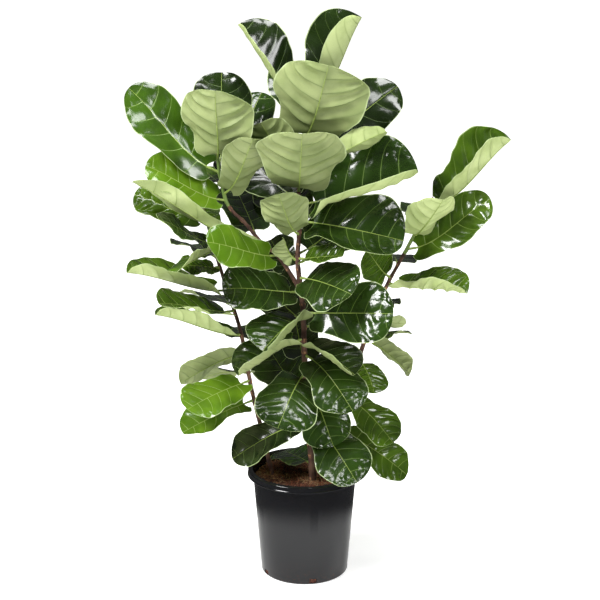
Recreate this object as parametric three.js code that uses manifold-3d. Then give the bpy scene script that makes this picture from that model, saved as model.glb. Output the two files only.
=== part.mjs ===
// A potted fiddle leaf fig: three trunks with large waved leaves in a black nursery pot.
// Millimetres, +Z up. The origin is the middle of the pot's underside, and the front faces -Y.
import * as THREE from "three";
import { mergeVertices } from "three/addons/utils/BufferGeometryUtils.js";
import Module from "manifold-3d";

// Driving dimensions of the pot
const POT_HEIGHT = 242;
const RIM_RADIUS = 127.5;
const BODY_TOP_RADIUS = 115;
const BODY_FOOT_RADIUS = 97;
const FOOT_CHAMFER = 3;
const WALL = 1.8;
const FLOOR = 2.2;
const LIP_HEIGHT = 14;
const LIP_BEAD = 1.2;
const ROUND_SEGMENTS = 32;
const SLOT_COUNT = 5;
const SLOT_FIRST_ANGLE = -79;
const SLOT_WIDTH = 16;
const SLOT_HEIGHT = 10;
const SLOT_DEPTH = 16;
const SLOT_ABOVE_FOOT = 3.5;

// Driving dimensions of the potting mix
const SEAT_GAP = 0.35;
const MIX_LEVEL = 220;
const MIX_MOUND = 9;
const MIX_MOUND_CENTRE = [-25, -15];
const MIX_MOUND_SPREAD = 60;
const MIX_LUMP = 1.5;
const MIX_LUMP_PITCH = 9;
const MIX_RING_RADII = [90, 60, 30];
const ROOT_DEPTH = 110;
const HOLE_HEAD = 30;

// The trunks and the branch: points of the centre line, from the foot up, with the radius at
// each end. Wood stops at the height "wood" and the green shoot goes on from there.
const STEMS = {
  left: {
    points: [
      [-68, -10, ROOT_DEPTH],
      [-72, -10, 222],
      [-87, -10, 296],
      [-117, 0, 426],
      [-140, 0, 558],
      [-176, 0, 678],
      [-192, 0, 734],
      [-215, 0, 822],
    ],
    radius: [5.5, 3.2],
    wood: 735,
  },
  centre: {
    points: [
      [20, -46, ROOT_DEPTH],
      [18, -46, 222],
      [11, -40, 337],
      [9, -35, 385],
      [0, -30, 499],
      [-4, -20, 616],
      [-15, -10, 715],
      [-11, 0, 801],
      [-13, 0, 878],
      [0, 0, 1008],
      [5, 0, 1066],
    ],
    radius: [8, 3.4],
    wood: 898,
  },
  branch: {
    points: [
      [-10, -16, 655],
      [-30, -12, 689],
      [-61, -5, 732],
      [-93, 0, 757],
      [-127, 0, 799],
      [-161, 0, 834],
      [-178, 0, 889],
      [-186, 0, 950],
    ],
    radius: [4.6, 3.2],
    wood: 838,
  },
  right: {
    points: [
      [55, 35, ROOT_DEPTH],
      [60, 35, 222],
      [85, 40, 350],
      [120, 45, 480],
      [155, 40, 590],
      [186, 30, 667],
      [225, 20, 746],
      [268, 15, 840],
    ],
    radius: [6.5, 3.2],
    wood: 728,
  },
};
const STEM_SIDES = 8;
const STEM_STEP = 30;
const BUD_LENGTH = 18;
const BUD_TIP_RADIUS = 0.6;

// What all leaves share
const BLADE_THICKNESS = 1.2;
const PETIOLE_SHARE = 0.12;
const PETIOLE_RADIUS = 2.6;
const PETIOLE_NECK = 0.03;
const MIDRIB_DEPTH = 1.6;
const MIDRIB_TAPER = 0.8;
const BOW_LEAD = 0.4;
const WAVES = 1.7;
const WAVE_TURN = 2.4;
const LEFT_WAVE_TURN = 2;
const LOBE_BACK = 0.07;
const LOBE_BACK_POWER = 4;
const TIP_ROUND = 0.02;
const TIP_ROUND_POWER = 8;
const WIDEST_AT = 0.68;
const LOBE_AT = 0.14;
const LOBE_WIDTH = 0.64;
const LOBE_REACH = 0.3;
const BROAD_REACH = 0.74;
const TIP_REACH = 0.345;
const OUTLINE_BLEND = 4;
const FOLD_AT_BASE = 0.4;
const FOLD_FULL_AT = 0.15;
const LEAST_TURN = 1e-6;
const STATIONS = [0, 0.15, 0.35, 0.55, 0.75, 0.91, 1];
const ACROSS = [1, 0.5, 0, -0.5, -1];

// The leaves. Each row: stem, height on it, place of the tip, the way the upper side faces, width,
// bow of the midrib, right half, left half, height of the waves. A half is two angles in degrees
// above the blade's plane, at the midrib and at the margin, seen from the base to the tip.
const LEAVES = [
  ["centre", 362, [-158, -60, 284], [-0.3, -0.8, 1], 95, 12, [8, 0], [8, 10], 5],
  ["centre", 438, [62, -118, 335], [0.1, -1, 0.5], 110, 15, [8, -10], [8, -10], 5],
  ["centre", 358, [112, -160, 268], [0.2, -0.9, 0.6], 120, 18, [8, -5], [8, 0], 6],
  ["centre", 538, [106, -110, 494], [0.2, -0.7, 1], 118, 10, [20, 90], [5, 0], 4],
  ["centre", 512, [102, -145, 424], [0.3, -0.8, 0.8], 125, 16, [8, -10], [8, 0], 6],
  ["centre", 472, [-57, -170, 395], [0, -0.8, 0.8], 140, 18, [6, -8], [6, -8], 5],
  ["centre", 548, [-143, -110, 493], [-0.3, -0.7, 0.9], 120, 12, [6, 0], [20, 110], 5],
  ["centre", 600, [-88, -150, 560], [-0.1, -0.8, 0.8], 138, 14, [6, -5], [15, 110], 5],
  ["centre", 606, [186, -120, 632], [0, -1, 0.45], 135, 10, [6, 0], [6, -5], 6],
  ["centre", 682, [98, -120, 674], [0.1, -0.8, 0.7], 140, 12, [8, 0], [8, 0], 6],
  ["centre", 652, [-175, -70, 672], [0, -0.7, 0.9], 128, 15, [8, 0], [8, 0], 6],
  ["centre", 722, [-45, -14, 768], [-0.6, 0.1, 0.6], 64, 4, [35, 40], [35, 40], 3],
  ["centre", 724, [80, -84, 748], [-0.4, -0.3, 1], 80, 4, [20, 20], [20, 20], 3],
  ["centre", 777, [-55, -80, 880], [0, 1, 0.8], 108, -8, [10, 15], [10, 15], 7],
  ["centre", 872, [-6, -125, 1015], [0, 1, 0.8], 190, -12, [10, 15], [10, 15], 6],
  ["centre", 984, [48, -95, 1150], [-0.1, 1, 0.5], 205, -14, [15, 25], [5, -20], 6],
  ["centre", 1040, [-139, 20, 1220], [0.7, -1, 0.3], 155, 8, [8, 0], [50, 80], 6],
  ["centre", 1051, [118, -5, 1238], [-0.3, -1, 0.3], 185, 4, [75, 130], [10, 0], 5],
  ["centre", 958, [200, 92, 1080], [0, -1, 0.4], 115, 8, [8, 0], [8, 0], 10],
  ["centre", 924, [168, -70, 1010], [0, 1, 0.5], 60, 6, [20, 40], [20, 40], 5],
  ["centre", 840, [238, -30, 922], [0, -1, 0.45], 195, 14, [40, 120], [8, 0], 7],
  ["centre", 804, [209, -58, 775], [0, -0.9, 0.5], 172, 14, [15, 70], [8, 0], 7],
  ["centre", 914, [-92, -66, 1028], [0.25, 1, 0.35], 104, -6, [10, 15], [10, 15], 5],
  ["branch", 942, [-184, -90, 1098], [0, 1, 0.6], 165, -16, [20, 30], [5, -25], 7],
  ["branch", 911, [-370, 0, 1090], [0.3, -1, 0.6], 115, 12, [10, 5], [10, 5], 6],
  ["branch", 924, [-178, 80, 1112], [0, -1, 0.3], 130, 6, [10, 10], [10, 10], 6],
  ["branch", 850, [-335, -40, 932], [0.2, -0.85, 1], 108, 10, [10, 10], [10, 10], 6],
  ["branch", 864, [-107, -85, 998], [-0.2, 1, 0.5], 98, -6, [10, 15], [10, 15], 5],
  ["branch", 754, [-358, -90, 908], [0, 0.7, 1], 72, 6, [20, 25], [20, 25], 5],
  ["branch", 732, [-202, -140, 792], [0, -1, 0.7], 96, 10, [8, 0], [8, 0], 6],
  ["branch", 698, [-75, 88, 742], [0, -1, 0.5], 88, 8, [8, 5], [8, 5], 5],
  ["left", 806, [-365, 10, 860], [0, -0.7, 1], 95, 8, [8, 0], [8, 0], 5],
  ["left", 756, [-304, -110, 834], [0, -0.6, 1], 80, 6, [8, 0], [8, 0], 5],
  ["left", 743, [-262, -175, 738], [0, 1, 0.6], 86, 6, [15, 20], [15, 20], 4],
  ["left", 704, [-262, -60, 718], [0, -0.6, 1], 62, 10, [8, 0], [8, 0], 4],
  ["left", 652, [-376, -85, 712], [0, -0.5, 1], 126, 12, [8, 0], [45, 75], 6],
  ["left", 606, [-305, -140, 660], [0, -0.6, 1], 105, 10, [8, 0], [10, 50], 5],
  ["left", 552, [-318, -80, 618], [0, -0.3, 1], 95, 10, [10, 10], [45, 80], 5],
  ["left", 510, [-271, -30, 448], [-0.3, 0.8, 0.6], 85, 8, [10, 20], [10, 20], 4],
  ["left", 445, [-250, -120, 419], [-0.2, -0.7, 1], 115, 12, [8, 0], [8, 0], 6],
  ["left", 400, [-265, -80, 352], [-0.2, -0.7, 0.8], 100, 10, [8, 0], [10, 50], 6],
  ["right", 310, [230, 20, 215], [0.4, -0.7, 0.7], 95, 14, [8, 0], [8, 0], 5],
  ["right", 390, [194, -40, 314], [0.5, -0.7, 0.6], 105, 12, [8, 0], [8, 0], 5],
  ["right", 478, [152, -30, 425], [0.4, -0.7, 0.7], 85, 10, [8, 0], [8, 0], 4],
  ["right", 528, [230, -10, 462], [0.1, 0.8, 0.8], 85, 8, [15, 20], [15, 20], 4],
  ["right", 660, [347, -60, 661], [0, -0.7, 0.9], 125, 14, [30, 110], [8, 0], 6],
  ["right", 672, [132, -20, 745], [0.2, -1, 0.4], 96, 4, [10, 10], [10, 10], 4],
  ["right", 738, [395, -15, 856], [0, -0.8, 0.7], 102, 10, [8, 0], [8, 0], 6],
  ["right", 768, [288, -80, 868], [-0.3, 0.8, 0.6], 115, -6, [15, 25], [15, 25], 5],
  ["right", 832, [435, -10, 982], [-0.64, 0, 0.77], 155, 4, [35, 35], [75, 85], 6],
  ["centre", 266, [-48, 70, 252], [0, -0.3, 1], 102, 6, [8, 0], [8, 0], 4],
  ["centre", 402, [-95, 205, 472], [0, -1, 0.7], 125, 12, [8, 0], [8, 0], 5],
  ["centre", 492, [-35, 215, 600], [0, -1, 0.5], 125, 12, [8, 0], [8, 0], 5],
  ["centre", 588, [-122, 178, 648], [0, -1, 0.7], 125, 12, [8, 0], [8, 0], 6],
  ["centre", 575, [228, 118, 540], [0, 1, 0.8], 56, 12, [8, 0], [8, 0], 6],
  ["centre", 735, [120, 150, 800], [0.1, -1, 0.6], 130, 12, [8, 0], [8, 0], 6],
  ["centre", 792, [-60, 215, 850], [0, -1, 0.6], 140, 12, [8, 0], [8, 0], 6],
  ["centre", 852, [-142, 120, 930], [0.2, -1, 0.8], 135, 10, [8, 0], [8, 0], 6],
  ["centre", 938, [60, 235, 935], [0.1, 0.7, 0.8], 142, 8, [8, 0], [8, 0], 6],
  ["centre", 1010, [-30, 190, 1105], [0, -0.4, 1], 125, 8, [10, 10], [10, 10], 6],
  ["centre", 1023, [120, 150, 1070], [0.2, 0.6, 0.9], 115, 8, [10, 10], [10, 10], 5],
  ["left", 462, [-238, 158, 395], [-0.2, 0.8, 0.8], 120, 12, [8, 0], [8, 0], 5],
  ["left", 536, [-165, 225, 500], [0, 0.8, 0.8], 132, 12, [8, 0], [8, 0], 5],
  ["left", 615, [-242, 205, 582], [-0.1, 0.8, 0.8], 128, 12, [8, 0], [8, 0], 5],
  ["left", 722, [-265, 215, 700], [-0.1, 0.8, 0.8], 125, 10, [8, 0], [8, 0], 5],
  ["left", 792, [-262, 205, 815], [0, 0.7, 0.9], 110, 8, [8, 5], [8, 5], 5],
  ["right", 430, [130, 215, 375], [0.1, 0.8, 0.8], 125, 12, [8, 0], [8, 0], 5],
  ["right", 522, [200, 235, 480], [0.2, 0.8, 0.8], 130, 12, [8, 0], [8, 0], 5],
  ["right", 588, [150, 225, 560], [0, 0.8, 0.8], 138, 12, [8, 0], [8, 0], 5],
  ["right", 700, [190, 240, 670], [0.1, 0.8, 0.8], 132, 10, [8, 0], [8, 0], 5],
  ["right", 800, [280, 225, 790], [0.1, 0.7, 0.8], 118, 8, [8, 5], [8, 5], 5],
  ["branch", 772, [-160, 240, 830], [-0.1, 0, 1], 120, 10, [8, 0], [8, 0], 5],
  ["branch", 884, [-250, 215, 880], [-0.1, 0.7, 0.8], 122, 8, [8, 0], [8, 0], 5],
  ["branch", 898, [-95, 205, 1050], [0, -0.6, 1], 105, 8, [8, 5], [8, 5], 5],
];

// Corners closer than this are one corner, and a direction is taken over a length this long
const WELD = 1e-4;
const PROBE = 1;

const COLOURS = {
  pot: { color: 0x1b1c1e, roughness: 0.38, metalness: 0 },
  mix: { color: 0x4a2c1c, roughness: 0.95, metalness: 0 },
  bark: { color: 0x5a4030, roughness: 0.85, metalness: 0 },
  leaf: { color: 0x2c4a1c, roughness: 0.3, metalness: 0 },
};

const wasm = await Module();
wasm.setup();
const plant = new THREE.Group();

function addPiece(name, geometry, colours) {
  const mesh = new THREE.Mesh(geometry, new THREE.MeshStandardMaterial(colours));
  mesh.name = name;
  plant.add(mesh);
}

// A solid from a closed geometry, without the faces that shrink to a line on a lathe's axis
function solidFrom(geometry) {
  const bare = geometry.clone();
  bare.deleteAttribute("normal");
  bare.deleteAttribute("uv");
  const merged = mergeVertices(bare, WELD);
  const corners = merged.index.array;
  const kept = [];
  for (let i = 0; i < corners.length; i += 3) {
    const [a, b, c] = corners.slice(i, i + 3);
    if (a !== b && b !== c && c !== a) kept.push(a, b, c);
  }
  return new wasm.Manifold(
    new wasm.Mesh({
      numProp: 3,
      vertProperties: new Float32Array(merged.attributes.position.array),
      triVerts: new Uint32Array(kept),
    }),
  );
}

function geometryFrom(solid) {
  const { vertProperties, triVerts } = solid.getMesh();
  const geometry = new THREE.BufferGeometry();
  geometry.setAttribute("position", new THREE.BufferAttribute(vertProperties, 3));
  geometry.setIndex(new THREE.BufferAttribute(triVerts, 1));
  geometry.computeVertexNormals();
  return geometry;
}

function geometryOf(points, faces) {
  const geometry = new THREE.BufferGeometry();
  const flat = points.flatMap((point) => [point.x, point.y, point.z]);
  geometry.setAttribute("position", new THREE.Float32BufferAttribute(flat, 3));
  geometry.setIndex(faces.flat());
  geometry.computeVertexNormals();
  return geometry;
}

// A closed skin over rings of as many points each. The last "mirrored" sides of a ring are split
// the other way, so that the under face of a blade has the same diagonals as the upper face.
function loft(rings, mirrored, flatEnd) {
  const count = rings[0].length;
  const faces = [];
  for (let row = 0; row + 1 < rings.length; row++) {
    for (let side = 0; side < count; side++) {
      const next = (side + 1) % count;
      const a = row * count + side;
      const b = row * count + next;
      const c = (row + 1) * count + next;
      const d = (row + 1) * count + side;
      if (side >= count - mirrored) faces.push([a, d, b], [d, c, b]);
      else faces.push([a, d, c], [a, c, b]);
    }
  }
  for (let side = 1; side + 1 < count; side++) faces.push([0, side, side + 1]);
  const last = (rings.length - 1) * count;
  if (flatEnd) {
    for (let side = 0; side < count / 2 - 1; side++) {
      const under = last + count - 1 - side;
      faces.push([under, under - 1, last + side + 1], [under, last + side + 1, last + side]);
    }
  } else {
    for (let side = 1; side + 1 < count; side++) faces.push([last, last + side + 1, last + side]);
  }
  return geometryOf(rings.flat(), faces);
}

// The pot: a thin tapered wall with a rolled lip that hangs outside it, and slots at the foot
function potProfile() {
  const shoulder = POT_HEIGHT - LIP_HEIGHT;
  const skirt = RIM_RADIUS - WALL;
  return [
    [0, 0],
    [BODY_FOOT_RADIUS - FOOT_CHAMFER, 0],
    [BODY_FOOT_RADIUS, FOOT_CHAMFER],
    [BODY_TOP_RADIUS, shoulder],
    [BODY_TOP_RADIUS + WALL, POT_HEIGHT - 2 * WALL],
    [skirt - LIP_BEAD, POT_HEIGHT - 2 * WALL],
    [skirt, shoulder],
    [RIM_RADIUS, shoulder],
    [RIM_RADIUS, shoulder + 2 * LIP_BEAD],
    [RIM_RADIUS - LIP_BEAD, shoulder + 3 * LIP_BEAD],
    [RIM_RADIUS - LIP_BEAD, POT_HEIGHT - WALL],
    [RIM_RADIUS - 2 * WALL, POT_HEIGHT],
    [BODY_TOP_RADIUS + WALL, POT_HEIGHT],
    [BODY_TOP_RADIUS, POT_HEIGHT - WALL],
    [BODY_TOP_RADIUS - WALL, shoulder],
    [BODY_FOOT_RADIUS - WALL, FLOOR],
    [0, FLOOR],
  ];
}

function turned(profile) {
  const outline = profile.map(([radius, height]) => new THREE.Vector2(radius, height));
  return new THREE.LatheGeometry(outline, ROUND_SEGMENTS).rotateX(Math.PI / 2);
}

function makePot() {
  let pot = solidFrom(turned(potProfile()));
  for (let slot = 0; slot < SLOT_COUNT; slot++) {
    const angle = THREE.MathUtils.degToRad(SLOT_FIRST_ANGLE + (slot * 360) / SLOT_COUNT);
    const cutter = new THREE.BoxGeometry(SLOT_DEPTH, SLOT_WIDTH, SLOT_HEIGHT);
    cutter.translate(BODY_FOOT_RADIUS, 0, SLOT_ABOVE_FOOT + SLOT_HEIGHT / 2);
    cutter.rotateZ(angle);
    pot = pot.subtract(solidFrom(cutter));
  }
  addPiece("nursery_pot", geometryFrom(pot), COLOURS.pot);
}

function innerRadius(height) {
  const foot = BODY_FOOT_RADIUS - WALL;
  const top = BODY_TOP_RADIUS - WALL;
  const shoulder = POT_HEIGHT - LIP_HEIGHT;
  return foot + ((top - foot) * (height - FLOOR)) / (shoulder - FLOOR);
}

function mixHeight(x, y) {
  const dx = x - MIX_MOUND_CENTRE[0];
  const dy = y - MIX_MOUND_CENTRE[1];
  const mound = MIX_MOUND * Math.exp(-(dx * dx + dy * dy) / MIX_MOUND_SPREAD ** 2);
  const lumps = MIX_LUMP * Math.sin(x / MIX_LUMP_PITCH) * Math.cos(y / MIX_LUMP_PITCH);
  return MIX_LEVEL + mound + lumps;
}

// The potting mix fills the pot, and each trunk stands in a plain hole in it
function makeMix() {
  const foot = FLOOR + SEAT_GAP;
  const profile = [
    [0, foot],
    [innerRadius(foot) - SEAT_GAP, foot],
    [innerRadius(MIX_LEVEL) - SEAT_GAP, MIX_LEVEL],
    ...MIX_RING_RADII.map((radius) => [radius, MIX_LEVEL]),
    [0, MIX_LEVEL],
  ];
  const ball = turned(profile);
  const place = ball.attributes.position;
  const inside = innerRadius(MIX_LEVEL) - 2 * SEAT_GAP;
  for (let i = 0; i < place.count; i++) {
    const x = place.getX(i);
    const y = place.getY(i);
    const onTop = place.getZ(i) > MIX_LEVEL - SEAT_GAP && Math.hypot(x, y) < inside;
    if (onTop) place.setZ(i, mixHeight(x, y));
  }
  let mix = solidFrom(ball);
  for (const name of ["left", "centre", "right"]) {
    const hole = stemTube(STEMS[name], ROOT_DEPTH, MIX_LEVEL + HOLE_HEAD, SEAT_GAP);
    mix = mix.subtract(solidFrom(hole));
  }
  addPiece("potting_mix", geometryFrom(mix), COLOURS.mix);
}

// The centre line of a stem at a height: a smooth curve through its points
function stemCentre(stem, height) {
  const points = stem.points;
  let i = 0;
  while (i + 2 < points.length && height > points[i + 1][2]) i++;
  const slope = (k) => {
    const before = points[Math.max(k - 1, 0)];
    const after = points[Math.min(k + 1, points.length - 1)];
    return [0, 1].map((axis) => (after[axis] - before[axis]) / (after[2] - before[2]));
  };
  const [from, to] = [points[i], points[i + 1]];
  const span = to[2] - from[2];
  const s = (height - from[2]) / span;
  const [slopeFrom, slopeTo] = [slope(i), slope(i + 1)];
  const at = [0, 1].map(
    (axis) =>
      from[axis] * (2 * s ** 3 - 3 * s ** 2 + 1) +
      to[axis] * (3 * s ** 2 - 2 * s ** 3) +
      slopeFrom[axis] * span * (s ** 3 - 2 * s ** 2 + s) +
      slopeTo[axis] * span * (s ** 3 - s ** 2),
  );
  return new THREE.Vector3(at[0], at[1], height);
}

function stemDirection(stem, height) {
  const below = stemCentre(stem, height - PROBE);
  return stemCentre(stem, height + PROBE).sub(below).normalize();
}

function stemRadius(stem, height) {
  const foot = stem.points[0][2];
  const top = stem.points.at(-1)[2];
  return stem.radius[0] + ((stem.radius[1] - stem.radius[0]) * (height - foot)) / (top - foot);
}

function ringAround(centre, direction, radius, sides) {
  const right = new THREE.Vector3(1, 0, 0);
  right.addScaledVector(direction, -right.dot(direction)).normalize();
  const back = direction.clone().cross(right);
  return Array.from({ length: sides }, (_, side) => {
    const angle = (-2 * Math.PI * side) / sides;
    return centre
      .clone()
      .addScaledVector(right, radius * Math.cos(angle))
      .addScaledVector(back, radius * Math.sin(angle));
  });
}

function stemTube(stem, low, high, extra) {
  const steps = Math.ceil((high - low) / STEM_STEP);
  const rings = [];
  for (let step = 0; step <= steps; step++) {
    const height = low + ((high - low) * step) / steps;
    const radius = stemRadius(stem, height) + extra;
    rings.push(ringAround(stemCentre(stem, height), stemDirection(stem, height), radius, STEM_SIDES));
  }
  return loft(rings, 0, false);
}

function makeWood() {
  const left = stemTube(STEMS.left, ROOT_DEPTH + 2 * SEAT_GAP, STEMS.left.wood, 0);
  addPiece("stem_left", left, COLOURS.bark);
  const trunk = stemTube(STEMS.centre, ROOT_DEPTH + 2 * SEAT_GAP, STEMS.centre.wood, 0);
  const branch = stemTube(STEMS.branch, STEMS.branch.points[0][2], STEMS.branch.wood, 0);
  const forked = solidFrom(trunk).add(solidFrom(branch));
  addPiece("stem_centre", geometryFrom(forked), COLOURS.bark);
  const right = stemTube(STEMS.right, ROOT_DEPTH + 2 * SEAT_GAP, STEMS.right.wood, 0);
  addPiece("stem_right", right, COLOURS.bark);
}

// Half the width of a blade, as a share of its greatest, from the base at 0 to the tip at 1:
// two rounded lobes at the base, a waist, and a broad round end
function outline(u) {
  const past = Math.max(u - WIDEST_AT, 0) / TIP_REACH;
  const before = Math.min(Math.max(WIDEST_AT - u, 0) / BROAD_REACH, 1);
  const broad = u > WIDEST_AT ? Math.sqrt(1 - past * past) : Math.cos((before * Math.PI) / 2);
  const reach = Math.min(Math.abs(u - LOBE_AT) / LOBE_REACH, 1);
  const lobe = LOBE_WIDTH * Math.sqrt(1 - reach * reach);
  return (broad ** OUTLINE_BLEND + lobe ** OUTLINE_BLEND) ** (1 / OUTLINE_BLEND);
}

// The form of one leaf: a function for its middle surface, and one for its stalk
function leafForm(row, order) {
  const [stemName, height, tipPlace, facing, width, bow, rightHalf, leftHalf, wave] = row;
  const stem = STEMS[stemName];
  const centre = stemCentre(stem, height);
  const grain = stemDirection(stem, height);
  const tip = new THREE.Vector3(...tipPlace);
  const out = tip.clone().sub(centre);
  out.addScaledVector(grain, -out.dot(grain)).normalize();
  const seat = height > stem.wood ? 0 : stemRadius(stem, height) + SEAT_GAP;
  const root = centre.clone().addScaledVector(out, seat);
  const reach = tip.clone().sub(root);
  const length = reach.length();
  const straight = reach.clone().normalize();
  const up = new THREE.Vector3(...facing);
  up.addScaledVector(straight, -up.dot(straight)).normalize();
  const leave = out.clone().add(straight).normalize();
  const first = root.clone().addScaledVector(leave, length / 3).addScaledVector(up, bow * BOW_LEAD);
  const second = root.clone().addScaledVector(straight, (length * 2) / 3).addScaledVector(up, bow);
  const phase = order * WAVE_TURN;

  function frame(s) {
    const r = 1 - s;
    const at = root.clone().multiplyScalar(r ** 3);
    at.addScaledVector(first, 3 * r * r * s);
    at.addScaledVector(second, 3 * r * s * s);
    at.addScaledVector(tip, s ** 3);
    const along = first.clone().sub(root).multiplyScalar(r * r);
    along.addScaledVector(second.clone().sub(first), 2 * r * s);
    along.addScaledVector(tip.clone().sub(second), s * s).normalize();
    const normal = up.clone().addScaledVector(along, -up.dot(along)).normalize();
    return { at, along, normal, side: along.clone().cross(normal) };
  }

  function blade(u, t) {
    const across = Math.abs(t);
    const lobes = LOBE_BACK * (1 - u) ** LOBE_BACK_POWER * t * t;
    const rounding = TIP_ROUND * u ** TIP_ROUND_POWER * t * t;
    const s = PETIOLE_SHARE + (1 - PETIOLE_SHARE) * (u - lobes - rounding);
    const { at, normal, side } = frame(s);
    const half = (width / 2) * outline(u);
    const folded = FOLD_AT_BASE + (1 - FOLD_AT_BASE) * Math.min(u / FOLD_FULL_AT, 1);
    const turns = t > 0 ? rightHalf : leftHalf;
    const [low, high] = turns.map((degrees) => THREE.MathUtils.degToRad(degrees) * folded);
    const turn = high === low ? LEAST_TURN : high - low;
    const angle = low + turn * across;
    const outward = (half * (Math.sin(angle) - Math.sin(low))) / turn;
    const lift = (half * (Math.cos(low) - Math.cos(angle))) / turn;
    const start = t > 0 ? phase : phase + LEFT_WAVE_TURN;
    const ripple = wave * t * t * Math.sin(2 * Math.PI * WAVES * u + start);
    const sign = Math.sign(t);
    at.addScaledVector(side, outward * sign).addScaledVector(normal, lift + ripple);
    const skin = normal.clone().multiplyScalar(Math.cos(angle));
    skin.addScaledVector(side, -Math.sin(angle) * sign);
    return { at, skin };
  }

  return { root, out, length, width, frame, blade, up };
}

function ovalRing(at, side, normal, radius) {
  return Array.from({ length: 2 * ACROSS.length }, (_, k) => {
    const angle = (Math.PI * (2 * k + 1)) / (2 * ACROSS.length);
    return at
      .clone()
      .addScaledVector(side, radius * Math.cos(angle))
      .addScaledVector(normal, radius * Math.sin(angle));
  });
}

function leafGeometry(form) {
  const normal = form.up.clone().addScaledVector(form.out, -form.up.dot(form.out)).normalize();
  const rings = [ovalRing(form.root, form.out.clone().cross(normal), normal, PETIOLE_RADIUS)];
  const neck = form.frame(PETIOLE_SHARE - PETIOLE_NECK);
  rings.push(ovalRing(neck.at, neck.side, neck.normal, PETIOLE_RADIUS));
  for (const u of STATIONS) {
    const cut = ACROSS.map((t) => form.blade(u, t));
    const upper = cut.map(({ at, skin }) => at.clone().addScaledVector(skin, BLADE_THICKNESS / 2));
    const under = cut.map(({ at, skin }, k) => {
      const rib = ACROSS[k] === 0 ? MIDRIB_DEPTH * (1 - MIDRIB_TAPER * u) : 0;
      return at.clone().addScaledVector(skin, -BLADE_THICKNESS / 2 - rib);
    });
    rings.push([...upper, ...under.reverse()]);
  }
  return loft(rings, ACROSS.length, true);
}

// A green shoot goes on from the wood, carries its own leaves, and ends in a pointed bud
function makeShoot(name, leaves) {
  const stem = STEMS[name];
  const top = stem.points.at(-1)[2];
  const rings = [];
  const steps = Math.ceil((top - stem.wood) / STEM_STEP);
  for (let step = 0; step <= steps; step++) {
    const height = stem.wood + SEAT_GAP + ((top - stem.wood - SEAT_GAP) * step) / steps;
    const direction = stemDirection(stem, Math.min(height, top - PROBE));
    rings.push(ringAround(stemCentre(stem, height), direction, stemRadius(stem, height), STEM_SIDES));
  }
  const direction = stemDirection(stem, top - PROBE);
  const budTip = stemCentre(stem, top).addScaledVector(direction, BUD_LENGTH);
  rings.push(ringAround(budTip, direction, BUD_TIP_RADIUS, STEM_SIDES));
  let shoot = solidFrom(loft(rings, 0, false));
  for (const { form } of leaves) shoot = shoot.add(solidFrom(leafGeometry(form)));
  addPiece(`shoot_${name}`, geometryFrom(shoot), COLOURS.leaf);
}

function makeFoliage() {
  const placed = LEAVES.map((row, order) => ({ row, form: leafForm(row, order) }));
  for (const [name, stem] of Object.entries(STEMS)) {
    const own = placed.filter(({ row }) => row[0] === name);
    makeShoot(name, own.filter(({ row }) => row[1] > stem.wood));
    const loose = own.filter(({ row }) => row[1] <= stem.wood);
    loose.forEach(({ form }, i) => {
      const number = String(i + 1).padStart(2, "0");
      addPiece(`leaf_${name}_${number}`, leafGeometry(form), COLOURS.leaf);
    });
  }
}

makePot();
makeMix();
makeWood();
makeFoliage();
export default plant;
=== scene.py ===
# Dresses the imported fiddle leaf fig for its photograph. Fine leaves with veins, bark, potting mix
# and pot stand where the CAD nodes are, and repeat the values that those are made from.
import math
import random

import bmesh
import bpy
import numpy as np
from mathutils import Color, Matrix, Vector, noise


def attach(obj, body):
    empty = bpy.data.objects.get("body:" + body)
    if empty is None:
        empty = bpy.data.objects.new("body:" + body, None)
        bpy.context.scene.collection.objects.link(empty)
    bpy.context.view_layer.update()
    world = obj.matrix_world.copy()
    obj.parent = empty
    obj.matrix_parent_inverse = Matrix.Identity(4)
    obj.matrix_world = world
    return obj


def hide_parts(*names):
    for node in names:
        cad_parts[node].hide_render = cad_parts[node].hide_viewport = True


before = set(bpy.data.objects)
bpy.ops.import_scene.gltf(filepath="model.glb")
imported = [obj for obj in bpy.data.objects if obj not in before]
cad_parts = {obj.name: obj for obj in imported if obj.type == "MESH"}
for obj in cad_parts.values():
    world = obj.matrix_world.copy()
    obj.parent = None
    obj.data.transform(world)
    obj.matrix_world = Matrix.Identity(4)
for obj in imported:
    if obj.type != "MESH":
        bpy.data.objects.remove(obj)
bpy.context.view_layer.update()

MM = 0.001
MM_IN_CM = 10
BODY = "root"
SHARP_ANGLE = 40
WHITE = (1.0, 1.0, 1.0, 1.0)
BLACK = (0.0, 0.0, 0.0, 1.0)

# The camera stands where the photograph's stood
CAMERA_PLACE = (-0.0102, -3.5, 1.606)
CAMERA_PITCH = 15.6
CAMERA_LENS = 100.4
CAMERA_SENSOR = 36

# The floor glows, a painted light that fades into the white of the room. Its image in glossy pieces
# is a painted dim reflection that goes dark a short way from the middle. Fades start and end at a distance
# from the middle, in metres.
FLOOR_REACH = 14
FLOOR_SIDES = 96
FLOOR_FADE = (1.0, 3.5)
FLOOR_GLOW = 0.6
FLOOR_CLOUD_SCALE = 3.0
FLOOR_CLOUD_SHARE = 0.05
FLOOR_ROUGHNESS = 0.9
MIRROR_FADE = (0.28, 0.4)
MIRROR_DIM = (0.35, 0.96)
ROOM_LIGHT = 0.09

# The lamps, in metres and watts: name, place, what it faces, size, power
LIGHTS = [
    ("softbox_left", (-2.1, -1.4, 2.9), (0, 0, 0.7), (1.1, 1.1), 150),
    ("softbox_right", (1.9, -2.2, 2.4), (0, 0, 0.7), (0.9, 1.2), 55),
    ("softbox_top", (0.3, -0.1, 3.3), (0, 0, 0.7), (1.3, 1.3), 85),
]

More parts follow.
